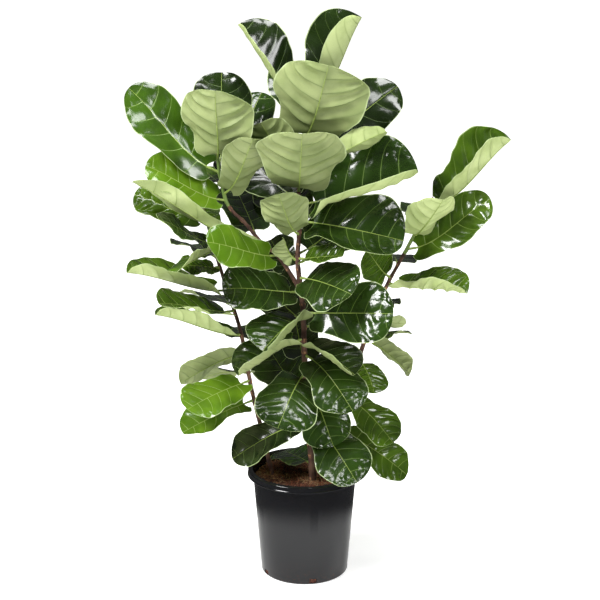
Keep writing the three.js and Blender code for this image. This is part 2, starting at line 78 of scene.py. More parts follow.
# The pot, in millimetres
POT_HEIGHT = 242
RIM_RADIUS = 127.5
BODY_TOP_RADIUS = 115
BODY_FOOT_RADIUS = 97
FOOT_CHAMFER = 3
WALL = 1.8
FLOOR = 2.2
LIP_HEIGHT = 14
LIP_BEAD = 1.2
POT_SEGMENTS = 160
SLOT_COUNT = 5
SLOT_FIRST_ANGLE = -79
SLOT_SIZE = (16, 16, 10)
SLOT_ABOVE_FOOT = 3.5
POT_SHARP_ANGLE = 50
POT_EDGE = 0.9
CORNER_STEPS = 4
CORNER_SHARE = 0.45
MERGE_DISTANCE = 1e-6

# The potting mix
SEAT_GAP = 0.35
MIX_LEVEL = 220
MIX_MOUND = 9
MIX_MOUND_CENTRE = (-25, -15)
MIX_MOUND_SPREAD = 60
MIX_LUMP = 1.5
MIX_LUMP_PITCH = 9
MIX_SEGMENTS = 150
MIX_RINGS = 60
CRUMB_HEIGHT = 2.6
CRUMB_PITCH = 7
GRAIN_HEIGHT = 1.1
GRAIN_PITCH = 2.2
GRAIN_SHIFT = 90

# What lies loose on the mix. Sizes are the least and most length, then the least and most thickness.
# Tones count through the fibre colours, and shares say how often each comes.
CHANCE_SEED = 7
FIBRE_RINGS = 8
FIBRE_SIDES = 3
FIBRE_TURN = 3.2
FIBRE_ARCH = (0.5, 6.0)
FIBRE_TAPER = 0.6
FIBRE_FROM_WALL = 3
FIBRE_SHARP_ANGLE = 80
SCATTER_FROM_WALL = 8
FIBRE_COUNT = 1300
FIBRE_SIZES = ((8, 34), (0.3, 0.6))
FIBRE_SHARES = (3, 5, 2)
CHIP_COUNT = 420
CHIP_SIZES = ((3, 7), (0.9, 2.0))
CHIP_TONES = (0, 1)
TUFT_STEMS = ("left", "centre")
TUFT_COUNT = 130
TUFT_SPREAD = 11
TUFT_SIZES = ((8, 26), (0.3, 0.7))
TUFT_TONES = (1, 2)
TUFT_SHARES = (2, 3)

# The trunks and the branch, as in the part's source
STEMS = {
    "left": {
        "points": [
            [-68, -10, 110], [-72, -10, 222], [-87, -10, 296], [-117, 0, 426], [-140, 0, 558],
            [-176, 0, 678], [-192, 0, 734], [-215, 0, 822],
        ],
        "radius": [5.5, 3.2],
        "wood": 735,
    },
    "centre": {
        "points": [
            [20, -46, 110], [18, -46, 222], [11, -40, 337], [9, -35, 385], [0, -30, 499],
            [-4, -20, 616], [-15, -10, 715], [-11, 0, 801], [-13, 0, 878], [0, 0, 1008],
            [5, 0, 1066],
        ],
        "radius": [8, 3.4],
        "wood": 898,
    },
    "branch": {
        "points": [
            [-10, -16, 655], [-30, -12, 689], [-61, -5, 732], [-93, 0, 757], [-127, 0, 799],
            [-161, 0, 834], [-178, 0, 889], [-186, 0, 950],
        ],
        "radius": [4.6, 3.2],
        "wood": 838,
    },
    "right": {
        "points": [
            [55, 35, 110], [60, 35, 222], [85, 40, 350], [120, 45, 480], [155, 40, 590],
            [186, 30, 667], [225, 20, 746], [268, 15, 840],
        ],
        "radius": [6.5, 3.2],
        "wood": 728,
    },
}
PROBE = 1
STEM_SIDES = 24
STEM_STEP = 2.5
NODE_PITCH = 26
NODE_SWELL = 0.09
NODE_REACH = 3
RIDGE = 0.1
RIDGES_ROUND = 5
RIDGE_PITCH = 45
LUMP = 0.1
LUMPS_ROUND = 1.5
LUMP_PITCH = 14
LUMP_SHIFT = 7
SEAT_SWELL = 0.35
SEAT_DROP = 2
SEAT_REACH = 5
SCAR_LENGTH = 1.6
SCAR_RARITY = 0.1
BUD_LENGTH = 18
BUD_SIDES = 16
BUD_RINGS = 12
BUD_CROWDING = 0.2
BUD_FULLNESS = 0.9
BUD_TIP_RADIUS = 0.15
BUD_CREASE = 0.1
BUD_TWIST = 3

# What all leaves share
BLADE_THICKNESS = 0.8
PETIOLE_SHARE = 0.12
PETIOLE_RADIUS = 2.5
RIB_RADIUS = 1.7
RIB_TAPER = 0.75
RIB_SINK = 0.2
BOW_LEAD = 0.4
WAVES = 1.7
WAVE_TURN = 2.4
LEFT_WAVE_TURN = 2
LOBE_BACK = 0.07
LOBE_BACK_POWER = 4
TIP_ROUND = 0.02
TIP_ROUND_POWER = 8
WIDEST_AT = 0.68
LOBE_AT = 0.14
LOBE_WIDTH = 0.64
LOBE_REACH = 0.3
BROAD_REACH = 0.74
TIP_REACH = 0.345
OUTLINE_BLEND = 4
FOLD_AT_BASE = 0.4
FOLD_FULL_AT = 0.15
LEAST_TURN = 1e-6

# What only the fine leaves have
STATION_COUNT = 64
STATION_CROWDING = 0.35
ACROSS_COUNT = 33
ACROSS_CROWDING = 0.5
LOBE_CORNER = 0.6
LOBE_CORNER_AT = 0.07
FINE_WAVES = 6.3
FINE_WAVE_SHARE = 0.2
UNEVEN_MARGIN = 0.03
UNEVEN_WAVE = 13
UNEVEN_SIDE_TURN = 2
PETIOLE_SIDES = 10
PETIOLE_RINGS = 26
PETIOLE_CROWDING = 0.3
PETIOLE_SWELL = 0.35
PETIOLE_SWELL_REACH = 4
RIB_START = 0.03
RIB_BLEND = 0.05
RIB_END = 0.98

# The side veins, and the relief between them by the tone of the upper face. The drift and the waves
# are in radians along and across the blade, and a high power keeps the relief up nearly to the edge.
VEIN_COUNT = 5.5
VEIN_SLOPE = 1.2
VEIN_SLOPE_LIMIT = 0.39
VEIN_CURVE = 2.5
VEIN_BASE_POWER = 3
VEIN_TIP_POWER = 2
LEFT_VEIN_SHIFT = 0.45
QUILT_SHARES = {"deep": 0.01, "dark": 0.013, "fresh": 0.014, "mid": 0.042, "bright": 0.014}
QUILT_POWER = 0.6
QUILT_UNEVEN = 0.4
QUILT_DRIFT = (9, 4)
QUILT_FULL_AT = 0.4
BLISTER_SHARES = {"deep": 0.004, "dark": 0.016, "fresh": 0.005, "mid": 0.008, "bright": 0.005}
BLISTER_WAVES = ((23, 7), (-11, 17))
RELIEF_MARGIN_POWER = 4
RELIEF_BASE_POWER = 8
RELIEF_TIP_POWER = 10

# The leaves. Each row: stem, height on it, place of the tip, the way the upper side faces, width,
# bow of the midrib, right half, left half, height of the waves, tone above, tone below
# The tones above and below are partly painted light and shade: lighter for leaves that catch the lamps,
# darker for leaves in shade.
LEAVES = [
    ["centre", 362, [-158, -60, 284], [-0.3, -0.8, 1], 95, 12, [8, 0], [8, 10], 5, "deep", "olive"],
    ["centre", 438, [62, -118, 335], [0.1, -1, 0.5], 110, 15, [8, -10], [8, -10], 5, "dark", "olive"],
    ["centre", 358, [112, -160, 268], [0.2, -0.9, 0.6], 120, 18, [8, -5], [8, 0], 6, "dark", "olive"],
    ["centre", 538, [106, -110, 494], [0.2, -0.7, 1], 118, 10, [20, 90], [5, 0], 4, "deep", "olive"],
    ["centre", 512, [102, -145, 424], [0.3, -0.8, 0.8], 125, 16, [8, -10], [8, 0], 6, "dark", "olive"],
    ["centre", 472, [-57, -170, 395], [0, -0.8, 0.8], 140, 18, [6, -8], [6, -8], 5, "dark", "olive"],
    ["centre", 548, [-143, -110, 493], [-0.3, -0.7, 0.9], 120, 12, [6, 0], [20, 110], 5, "dark", "olive"],
    ["centre", 600, [-88, -150, 560], [-0.1, -0.8, 0.8], 138, 14, [6, -5], [15, 110], 5, "dark", "olive"],
    ["centre", 606, [186, -120, 632], [0, -1, 0.45], 135, 10, [6, 0], [6, -5], 6, "dark", "olive"],
    ["centre", 682, [98, -120, 674], [0.1, -0.8, 0.7], 140, 12, [8, 0], [8, 0], 6, "dark", "olive"],
    ["centre", 652, [-175, -70, 672], [0, -0.7, 0.9], 128, 15, [8, 0], [8, 0], 6, "dark", "olive"],
    ["centre", 722, [-45, -14, 768], [-0.6, 0.1, 0.6], 64, 4, [35, 40], [35, 40], 3, "mid", "olive"],
    ["centre", 724, [80, -84, 748], [-0.4, -0.3, 1], 80, 4, [20, 20], [20, 20], 3, "mid", "lit"],
    ["centre", 777, [-55, -80, 880], [0, 1, 0.8], 108, -8, [10, 15], [10, 15], 7, "mid", "olive"],
    ["centre", 872, [-6, -125, 1015], [0, 1, 0.8], 190, -12, [10, 15], [10, 15], 6, "mid", "olive"],
    ["centre", 984, [48, -95, 1150], [-0.1, 1, 0.5], 205, -14, [15, 25], [5, -20], 6, "mid", "olive"],
    ["centre", 1040, [-139, 20, 1220], [0.7, -1, 0.3], 155, 8, [8, 0], [50, 80], 6, "deep", "lit"],
    ["centre", 1051, [118, -5, 1238], [-0.3, -1, 0.3], 185, 4, [75, 130], [10, 0], 5, "deep", "lit"],
    ["centre", 958, [200, 92, 1080], [0, -1, 0.4], 115, 8, [8, 0], [8, 0], 10, "deep", "olive"],
    ["centre", 924, [168, -70, 1010], [0, 1, 0.5], 60, 6, [20, 40], [20, 40], 5, "mid", "lit"],
    ["centre", 840, [238, -30, 922], [0, -1, 0.45], 195, 14, [40, 120], [8, 0], 7, "dark", "lit"],
    ["centre", 804, [209, -58, 775], [0, -0.9, 0.5], 172, 14, [15, 70], [8, 0], 7, "dark", "lit"],
    ["centre", 914, [-92, -66, 1028], [0.25, 1, 0.35], 104, -6, [10, 15], [10, 15], 5, "mid", "olive"],
    ["branch", 942, [-184, -90, 1098], [0, 1, 0.6], 165, -16, [20, 30], [5, -25], 7, "mid", "olive"],
    ["branch", 911, [-370, 0, 1090], [0.3, -1, 0.6], 115, 12, [10, 5], [10, 5], 6, "fresh", "lit"],
    ["branch", 924, [-178, 80, 1112], [0, -1, 0.3], 130, 6, [10, 10], [10, 10], 6, "deep", "olive"],
    ["branch", 850, [-335, -40, 932], [0.2, -0.85, 1], 108, 10, [10, 10], [10, 10], 6, "bright", "lit"],
    ["branch", 864, [-107, -85, 998], [-0.2, 1, 0.5], 98, -6, [10, 15], [10, 15], 5, "mid", "olive"],
    ["branch", 754, [-358, -90, 908], [0, 0.7, 1], 72, 6, [20, 25], [20, 25], 5, "mid", "lit"],
    ["branch", 732, [-202, -140, 792], [0, -1, 0.7], 96, 10, [8, 0], [8, 0], 6, "bright", "lit"],
    ["branch", 698, [-75, 88, 742], [0, -1, 0.5], 88, 8, [8, 5], [8, 5], 5, "deep", "olive"],
    ["left", 806, [-365, 10, 860], [0, -0.7, 1], 95, 8, [8, 0], [8, 0], 5, "mid", "lit"],
    ["left", 756, [-304, -110, 834], [0, -0.6, 1], 80, 6, [8, 0], [8, 0], 5, "dark", "lit"],
    ["left", 743, [-262, -175, 738], [0, 1, 0.6], 86, 6, [15, 20], [15, 20], 4, "mid", "olive"],
    ["left", 704, [-262, -60, 718], [0, -0.6, 1], 62, 10, [8, 0], [8, 0], 4, "mid", "lit"],
    ["left", 652, [-376, -85, 712], [0, -0.5, 1], 126, 12, [8, 0], [45, 75], 6, "mid", "lit"],
    ["left", 606, [-305, -140, 660], [0, -0.6, 1], 105, 10, [8, 0], [10, 50], 5, "mid", "lit"],
    ["left", 552, [-318, -80, 618], [0, -0.3, 1], 95, 10, [10, 10], [45, 80], 5, "mid", "lit"],
    ["left", 510, [-271, -30, 448], [-0.3, 0.8, 0.6], 85, 8, [10, 20], [10, 20], 4, "mid", "olive"],
    ["left", 445, [-250, -120, 419], [-0.2, -0.7, 1], 115, 12, [8, 0], [8, 0], 6, "bright", "lit"],
    ["left", 400, [-265, -80, 352], [-0.2, -0.7, 0.8], 100, 10, [8, 0], [10, 50], 6, "bright", "lit"],
    ["right", 310, [230, 20, 215], [0.4, -0.7, 0.7], 95, 14, [8, 0], [8, 0], 5, "mid", "olive"],
    ["right", 390, [194, -40, 314], [0.5, -0.7, 0.6], 105, 12, [8, 0], [8, 0], 5, "mid", "olive"],
    ["right", 478, [152, -30, 425], [0.4, -0.7, 0.7], 85, 10, [8, 0], [8, 0], 4, "mid", "olive"],
    ["right", 528, [230, -10, 462], [0.1, 0.8, 0.8], 85, 8, [15, 20], [15, 20], 4, "mid", "olive"],
    ["right", 660, [347, -60, 661], [0, -0.7, 0.9], 125, 14, [30, 110], [8, 0], 6, "mid", "lit"],
    ["right", 672, [132, -20, 745], [0.2, -1, 0.4], 96, 4, [10, 10], [10, 10], 4, "mid", "lit"],
    ["right", 738, [395, -15, 856], [0, -0.8, 0.7], 102, 10, [8, 0], [8, 0], 6, "mid", "lit"],
    ["right", 768, [288, -80, 868], [-0.3, 0.8, 0.6], 115, -6, [15, 25], [15, 25], 5, "mid", "lit"],
    ["right", 832, [435, -10, 982], [-0.64, 0, 0.77], 155, 4, [35, 35], [75, 85], 6, "mid", "lit"],
    ["centre", 266, [-48, 70, 252], [0, -0.3, 1], 102, 6, [8, 0], [8, 0], 4, "fresh", "olive"],
    ["centre", 402, [-95, 205, 472], [0, -1, 0.7], 125, 12, [8, 0], [8, 0], 5, "dark", "olive"],
    ["centre", 492, [-35, 215, 600], [0, -1, 0.5], 125, 12, [8, 0], [8, 0], 5, "deep", "olive"],
    ["centre", 588, [-122, 178, 648], [0, -1, 0.7], 125, 12, [8, 0], [8, 0], 6, "deep", "olive"],
    ["centre", 575, [228, 118, 540], [0, 1, 0.8], 56, 12, [8, 0], [8, 0], 6, "mid", "lit"],
    ["centre", 735, [120, 150, 800], [0.1, -1, 0.6], 130, 12, [8, 0], [8, 0], 6, "dark", "olive"],
    ["centre", 792, [-60, 215, 850], [0, -1, 0.6], 140, 12, [8, 0], [8, 0], 6, "dark", "olive"],
    ["centre", 852, [-142, 120, 930], [0.2, -1, 0.8], 135, 10, [8, 0], [8, 0], 6, "deep", "olive"],
    ["centre", 938, [60, 235, 935], [0.1, 0.7, 0.8], 142, 8, [8, 0], [8, 0], 6, "dark", "olive"],
    ["centre", 1010, [-30, 190, 1105], [0, -0.4, 1], 125, 8, [10, 10], [10, 10], 6, "dark", "olive"],
    ["centre", 1023, [120, 150, 1070], [0.2, 0.6, 0.9], 115, 8, [10, 10], [10, 10], 5, "dark", "olive"],
    ["left", 462, [-238, 158, 395], [-0.2, 0.8, 0.8], 120, 12, [8, 0], [8, 0], 5, "dark", "olive"],
    ["left", 536, [-165, 225, 500], [0, 0.8, 0.8], 132, 12, [8, 0], [8, 0], 5, "mid", "olive"],
    ["left", 615, [-242, 205, 582], [-0.1, 0.8, 0.8], 128, 12, [8, 0], [8, 0], 5, "dark", "olive"],
    ["left", 722, [-265, 215, 700], [-0.1, 0.8, 0.8], 125, 10, [8, 0], [8, 0], 5, "dark", "olive"],
    ["left", 792, [-262, 205, 815], [0, 0.7, 0.9], 110, 8, [8, 5], [8, 5], 5, "mid", "olive"],
    ["right", 430, [130, 215, 375], [0.1, 0.8, 0.8], 125, 12, [8, 0], [8, 0], 5, "dark", "olive"],
    ["right", 522, [200, 235, 480], [0.2, 0.8, 0.8], 130, 12, [8, 0], [8, 0], 5, "mid", "olive"],
    ["right", 588, [150, 225, 560], [0, 0.8, 0.8], 138, 12, [8, 0], [8, 0], 5, "dark", "olive"],
    ["right", 700, [190, 240, 670], [0.1, 0.8, 0.8], 132, 10, [8, 0], [8, 0], 5, "dark", "olive"],
    ["right", 800, [280, 225, 790], [0.1, 0.7, 0.8], 118, 8, [8, 5], [8, 5], 5, "dark", "olive"],
    ["branch", 772, [-160, 240, 830], [-0.1, 0, 1], 120, 10, [8, 0], [8, 0], 5, "dark", "olive"],
    ["branch", 884, [-250, 215, 880], [-0.1, 0.7, 0.8], 122, 8, [8, 0], [8, 0], 5, "mid", "olive"],
    ["branch", 898, [-95, 205, 1050], [0, -0.6, 1], 105, 8, [8, 5], [8, 5], 5, "dark", "olive"],
]

# Colours as a screen shows them, from 0 to 255
# The upper tones are partly each leaf's own green, lighter on young leaves, and partly painted light and
# shade, by how light falls on each leaf.
UPPER_TONES = {
    "deep": [(17, 29, 7), (27, 43, 11), (76, 98, 40)],
    "dark": [(22, 39, 7), (34, 56, 12), (96, 122, 50)],
    "fresh": [(36, 60, 8), (52, 82, 13), (112, 140, 58)],
    "mid": [(46, 70, 9), (66, 94, 14), (122, 148, 62)],
    "bright": [(70, 104, 12), (92, 126, 22), (144, 168, 80)],
}
# The under tones are one colour twice: a painted lit copy and a painted shaded copy.
UNDER_TONES = {
    "olive": [(122, 136, 80), (146, 158, 102), (86, 104, 46)],
    "lit": [(158, 174, 108), (182, 196, 132), (122, 142, 70)],
}
# The pale margin colour is a painted highlight, where the leaf's rim catches the light.
MARGIN_HIGHLIGHT_COLOUR = (178, 194, 142)
RIB_COLOURS = [(118, 138, 58), (148, 168, 84)]
BARK_COLOURS = [(50, 31, 24), (88, 56, 42), (136, 102, 80)]
SCAR_COLOUR = (176, 128, 88)
SHOOT_COLOURS = [(84, 108, 48), (120, 142, 70)]
BUD_COLOURS = [(110, 78, 48), (158, 124, 80)]
# The first mix colour, nearly black, is painted shade between the crumbs.
MIX_COLOURS = [(46, 26, 19), (98, 54, 38), (142, 88, 60)]
FIBRE_COLOURS = {"dark": (84, 48, 34), "red": (158, 92, 62), "straw": (206, 168, 122)}
POT_COLOURS = [(12, 13, 15), (18, 19, 22)]
FLOOR_COLOURS = [(250, 250, 250), (240, 240, 240)]

# The marks on a leaf. Side veins and the dips beside them are as wide as these shares of the gap
# from vein to vein, at the midrib and at the margin. The midrib's half widths are in centimetres, at
# the base and at the tip. A core is the share of a vein's width that has its full colour.
SIDE_VEIN_WIDTHS = (0.03, 0.012)
SIDE_VEIN_CORE = 0.4
# On the under face the dips are tinted towards its darker vein colour: painted shade beside each raised
# vein.
DIP_WIDTH = 0.16
MIDRIB_WIDTHS = (0.16, 0.05)
MIDRIB_CORE = 0.55
NET_CELLS = (12.0, 3.2, 1.0)
NET_WIDTH = 0.1
# The pale band along the margin, a painted highlight of the rim, starts and is full at these shares
# across.
MARGIN_HIGHLIGHT_SPAN = (0.968, 0.986)
BLISTERS = {"scale": 95.0, "detail": 1.5}
BLISTER_SPAN = (0.35, 0.85, 0.12, 1.0)
LEAF_CLOUD_SCALE = 14.0
LEAF_CLOUD_SPAN = (0.35, 0.65)
LEAF_GRAIN_SCALE = 60.0

# How far each mark goes into the colour, the bumps and the roughness of a leaf's two faces. Marks
# take the tone's vein colour, apart from those with a colour here.
LEAF_FACES = {
    "upper": {
        "tones": UPPER_TONES,
        "colours": {"midrib": RIB_COLOURS[1], "margin": MARGIN_HIGHLIGHT_COLOUR},
        "tints": {"dip": 0.05, "net": 0.06, "side": 0.75, "midrib": 0.8, "margin": 0.8},
        "bumps": {"side": -0.8, "midrib": -0.6, "net": -0.03, "pores": 0.07},
        "roughness": {"grain": 0.12, "side": 0.14, "plain": 0.12},
        "pores": {"scale": 900.0, "detail": 2.0},
        "bump": (0.6, 0.0009),
        "gloss": {"IOR": 1.42, "Coat_Weight": 0.25, "Coat_Roughness": 0.06},
    },
    "under": {
        "tones": UNDER_TONES,
        "colours": {"margin": MARGIN_HIGHLIGHT_COLOUR},
        # The under face's dip tint is painted shade beside each raised vein.
        "tints": {"dip": 0.22, "net": 0.12, "side": 0.75, "midrib": 1.0, "margin": 0.6},
        "bumps": {"side": 1.0, "midrib": 0.8, "net": 0.12, "pores": 0.25},
        "roughness": {"grain": 0.12, "plain": 0.5},
        "pores": {"scale": 700.0, "detail": 2.0},
        "bump": (0.5, 0.001),
        "gloss": {},
    },
}
BLISTER_BUMPS = {"deep": 0.5, "dark": 2.4, "fresh": 0.6, "mid": 0.8, "bright": 0.6}
BLISTER_BUMPS |= {"olive": 1.2, "lit": 1.2}

# The other finishes. A texture has its scale and detail, a span is where a texture starts and ends to
# show, with how much at each end, and a bump has its strength and its depth in metres.
ROUGHNESS = {"bark": 0.72, "margin": 0.5, "rib": 0.45, "shoot": 0.5, "bud": 0.6, "mix": 0.8}
STREAKS = {"scale": 420.0, "detail": 4.0}
STREAK_STRETCH = (1.0, 1.0, 0.12)
STREAK_SPAN = (0.3, 0.7)
STREAK_CLOUDS = {"scale": 38.0, "detail": 4.0}
STREAK_CLOUD_SPAN = (0.45, 0.75, 0.0, 0.5)
STREAK_CLOUD_ROUGHNESS = 0.1
STREAK_CLOUD_HEIGHT = 0.5
STREAK_BUMP = (0.5, 0.0007)
BARK_DOT_SCALE = 330.0
BARK_DOT_SPAN = (0.22, 0.1, 0.0, 0.5)
CRUMBS = {"scale": 260.0, "detail": 6.0}
CRUMB_SPAN = (0.35, 0.6)
CRUMB_ROUGHNESS = 0.15
BIT_SCALE = 170.0
BIT_SPAN = (0.3, 0.1, 0.0, 0.6)
BIT_HEIGHT = -0.6
MIX_BUMP = (0.9, 0.002)
FIBRE_GRAIN_SCALE = 500.0
FIBRE_GRAIN_SPAN = (0.3, 0.7)
FIBRE_DARK_SHARE = 0.6
FIBRE_ROUGHNESS = (0.2, 0.65)
FIBRE_BUMP = (0.4, 0.0004)
POT_GRAIN = {"scale": 1400.0, "detail": 2.0}
POT_GRAIN_HEIGHT = 0.4
POT_FLOW = {"scale": 26.0, "detail": 5.0}
POT_FLOW_STRETCH = (1.0, 1.0, 0.25)
POT_ROUGHNESS = (0.06, 0.3, 0.06)
POT_BUMP = (0.12, 0.0006)
DUST = {"scale": 520.0, "detail": 5.0}
DUST_SPAN = (0.6, 0.74)
DUST_BY_HEIGHT = (0.07, 0.0, 0.08, 0.6)


def screen(colour):
    """A colour from 0 to 255 as a screen shows it, in the linear values that Blender works with."""
    return (*Color([each / 255 for each in colour]).from_srgb_to_scene_linear(), 1.0)


class Finish:
    """A node material under construction, with a short call for each kind of node."""

    def __init__(self, name):
        self.material = bpy.data.materials.new(name)
        self.material.use_nodes = True
        self.nodes = self.material.node_tree.nodes
        self.links = self.material.node_tree.links
        self.shader = self.nodes["Principled BSDF"]
        self.place = self.node("TexCoord", "Object", {})

    def feed(self, socket, value):
        """Links a node's output to the socket, or sets a plain value on it."""
        if isinstance(value, bpy.types.NodeSocket):
            self.links.new(value, socket)
        else:
            socket.default_value = value

    def node(self, kind, output, inputs, **settings):
        """Adds a node with its settings, feeds its inputs, and hands back its output."""
        node = self.nodes.new(f"ShaderNode{kind}")
        for name, value in settings.items():
            setattr(node, name, value)
        for name, value in inputs.items():
            self.feed(node.inputs[name], value)
        return node.outputs[output]

    def paint(self, **values):
        """Feeds the shader's sockets, named with underscores for spaces."""
        for name, value in values.items():
            self.feed(self.shader.inputs[name.replace("_", " ")], value)
        return self.material

    def maths(self, operation, first, second=0.0):
        return self.node("Math", 0, {0: first, 1: second}, operation=operation)

    def total(self, *shares):
        """The sum of values, each times its share."""
        result = 0.0
        for value, share in shares:
            result = self.maths("ADD", self.maths("MULTIPLY", value, share), result)
        return result

    def ramp(self, value, start, end, low=0.0, high=1.0):
        """Goes smoothly from low, where the value is at the start, to high, where it is at the end."""
        inputs = {"Value": value, "From Min": start, "From Max": end, "To Min": low, "To Max": high}
        return self.node("MapRange", "Result", inputs, interpolation_type="SMOOTHSTEP")

    def mix(self, share, first, second):
        return self.node("Mix", 2, {0: share, 6: first, 7: second}, data_type="RGBA")

    def stretch(self, vector, scale):
        return self.node("VectorMath", 0, {0: vector, 1: scale}, operation="MULTIPLY")

    def noise(self, scale, vector=None, detail=3.0):
        inputs = {"Vector": vector or self.place, "Scale": scale, "Detail": detail}
        return self.node("TexNoise", "Fac", inputs)

    def cells(self, scale, vector=None, feature="DISTANCE_TO_EDGE"):
        inputs = {"Vector": vector or self.place, "Scale": scale}
        return self.node("TexVoronoi", "Distance", inputs, feature=feature)

    def parts(self, vector):
        """A vector's three parts."""
        node = self.nodes.new("ShaderNodeSeparateXYZ")
        self.links.new(vector, node.inputs[0])
        return node.outputs[:]

    def map(self, name):
        """A map's own point, and its two coordinates."""
        point = self.node("UVMap", 0, {}, uv_map=name)
        return point, *self.parts(point)[:2]

    def bump(self, height, strength, depth):
        return self.node("Bump", 0, {"Height": height, "Strength": strength, "Distance": depth})


def leaf_marks(finish):
    """How strongly each point is on each kind of mark: the dip beside a side vein, the net of small
    veins, a side vein, the midrib, the margin with its painted highlight, and the blisters towards the
    leaf's end."""
    veins, number, distance = finish.map("veins")
    _, along, across = finish.map("blade")
    off = finish.maths("ABSOLUTE", finish.maths("SUBTRACT", finish.maths("FRACT", number), 0.5))
    off = finish.maths("SUBTRACT", 0.5, off)
    width = finish.ramp(across, 0.0, 1.0, *SIDE_VEIN_WIDTHS)
    half = finish.ramp(along, 0.0, 1.0, *MIDRIB_WIDTHS)
    net = finish.cells(1.0, finish.stretch(veins, NET_CELLS))
    return {
        # On the under face this mask carries painted shade.
        "dip": finish.ramp(off, DIP_WIDTH, 0.0),
        "net": finish.ramp(net, NET_WIDTH, 0.0),
        "side": finish.ramp(off, width, finish.maths("MULTIPLY", width, SIDE_VEIN_CORE)),
        "midrib": finish.ramp(distance, half, finish.maths("MULTIPLY", half, MIDRIB_CORE)),
        # The pale margin band is a painted highlight of the rim.
        "margin": finish.ramp(across, *MARGIN_HIGHLIGHT_SPAN),
        "blister": finish.maths("MULTIPLY", finish.noise(**BLISTERS), finish.ramp(along, *BLISTER_SPAN)),
    }


def leaf_finish(face, tone):
    """The finish of the upper or under face of the leaves in one tone."""
    look = LEAF_FACES[face]
    low, high, vein = look["tones"][tone]
    finish = Finish(f"leaf_{face}_{tone}")
    marks = leaf_marks(finish)
    marks["pores"] = finish.noise(**look["pores"])
    marks["grain"] = finish.noise(LEAF_GRAIN_SCALE)
    marks["plain"] = 1.0
    cloud = finish.ramp(finish.noise(LEAF_CLOUD_SCALE), *LEAF_CLOUD_SPAN)
    colour = finish.mix(cloud, screen(low), screen(high))
    for mark, share in look["tints"].items():
        strength = finish.maths("MULTIPLY", marks[mark], share)
        colour = finish.mix(strength, colour, screen(look["colours"].get(mark, vein)))
    bumps = {**look["bumps"], "blister": BLISTER_BUMPS[tone]}
    height, roughness = [
        finish.total(*[(marks[mark], share) for mark, share in shares.items()])
        for shares in (bumps, look["roughness"])
    ]
    bump = finish.bump(height, *look["bump"])
    return finish.paint(Base_Color=colour, Roughness=roughness, Normal=bump, **look["gloss"])


def streaked(name, colours, roughness):
    """A finish with streaks that run up, for bark, stalks and green shoots."""
    low, high = [screen(each) for each in colours[:2]]
    finish = Finish(name)
    streaks = finish.noise(vector=finish.stretch(finish.place, STREAK_STRETCH), **STREAKS)
    clouds = finish.noise(**STREAK_CLOUDS)
    colour = finish.mix(finish.ramp(streaks, *STREAK_SPAN), low, high)
    colour = finish.mix(finish.ramp(clouds, *STREAK_CLOUD_SPAN), colour, screen(colours[-1]))
    height = finish.total((streaks, 1.0), (clouds, STREAK_CLOUD_HEIGHT))
    finish.paint(
        Base_Color=colour,
        Roughness=finish.total((clouds, STREAK_CLOUD_ROUGHNESS), (1.0, roughness)),
        Normal=finish.bump(height, *STREAK_BUMP),
    )
    return finish, colour


def bark_finish():
    """Brown bark with streaks, small corky dots, and pale scars where leaves have been."""
    finish, colour = streaked("bark", BARK_COLOURS, ROUGHNESS["bark"])
    _, scar, _ = finish.map("scars")
    dots = finish.ramp(finish.cells(BARK_DOT_SCALE, feature="F1"), *BARK_DOT_SPAN)
    colour = finish.mix(dots, colour, screen(BARK_COLOURS[2]))
    colour = finish.mix(scar, colour, screen(SCAR_COLOUR))
    return finish.paint(Base_Color=colour)


def mix_finish():
    """Damp coir with bits of bark, reddish brown on the crumbs and nearly black between them, where the
    dark is painted shade.
    """
    low, middle, high = [screen(each) for each in MIX_COLOURS]
    finish = Finish("mix")
    crumbs = finish.noise(**CRUMBS)
    bits = finish.cells(BIT_SCALE, feature="F1")
    # Low between the crumbs the mix goes nearly black: painted shade in the hollows.
    colour = finish.mix(finish.ramp(crumbs, *CRUMB_SPAN), low, middle)
    colour = finish.mix(finish.ramp(bits, *BIT_SPAN), colour, high)
    return finish.paint(
        Base_Color=colour,
        Roughness=finish.total((crumbs, CRUMB_ROUGHNESS), (1.0, ROUGHNESS["mix"])),
        Normal=finish.bump(finish.total((crumbs, 1.0), (bits, BIT_HEIGHT)), *MIX_BUMP),
    )


def fibre_finish(tone):
    finish = Finish(f"fibre_{tone}")
    grain = finish.noise(FIBRE_GRAIN_SCALE)
    pale = screen(FIBRE_COLOURS[tone])
    dark = screen([each * FIBRE_DARK_SHARE for each in FIBRE_COLOURS[tone]])
    of_grain, plain = FIBRE_ROUGHNESS
    return finish.paint(
        Base_Color=finish.mix(finish.ramp(grain, *FIBRE_GRAIN_SPAN), dark, pale),
        Roughness=finish.total((grain, of_grain), (1.0, plain)),
        Normal=finish.bump(grain, *FIBRE_BUMP),
    )


def pot_finish():
    """Black moulded plastic with a fine grain and faint flow lines, and with dust near the floor."""
    finish = Finish("pot")
    grain = finish.noise(**POT_GRAIN)
    flow = finish.noise(vector=finish.stretch(finish.place, POT_FLOW_STRETCH), **POT_FLOW)
    dust = finish.ramp(finish.noise(**DUST), *DUST_SPAN)
    height = finish.parts(finish.place)[2]
    dust = finish.maths("MULTIPLY", dust, finish.ramp(height, *DUST_BY_HEIGHT))
    colour = finish.mix(flow, *[screen(each) for each in POT_COLOURS])
    colour = finish.mix(dust, colour, screen(MIX_COLOURS[2]))
    of_flow, of_dust, plain = POT_ROUGHNESS
    return finish.paint(
        Base_Color=colour,
        Roughness=finish.total((flow, of_flow), (dust, of_dust), (1.0, plain)),
        Normal=finish.bump(finish.total((grain, POT_GRAIN_HEIGHT), (flow, 1.0)), *POT_BUMP),
    )


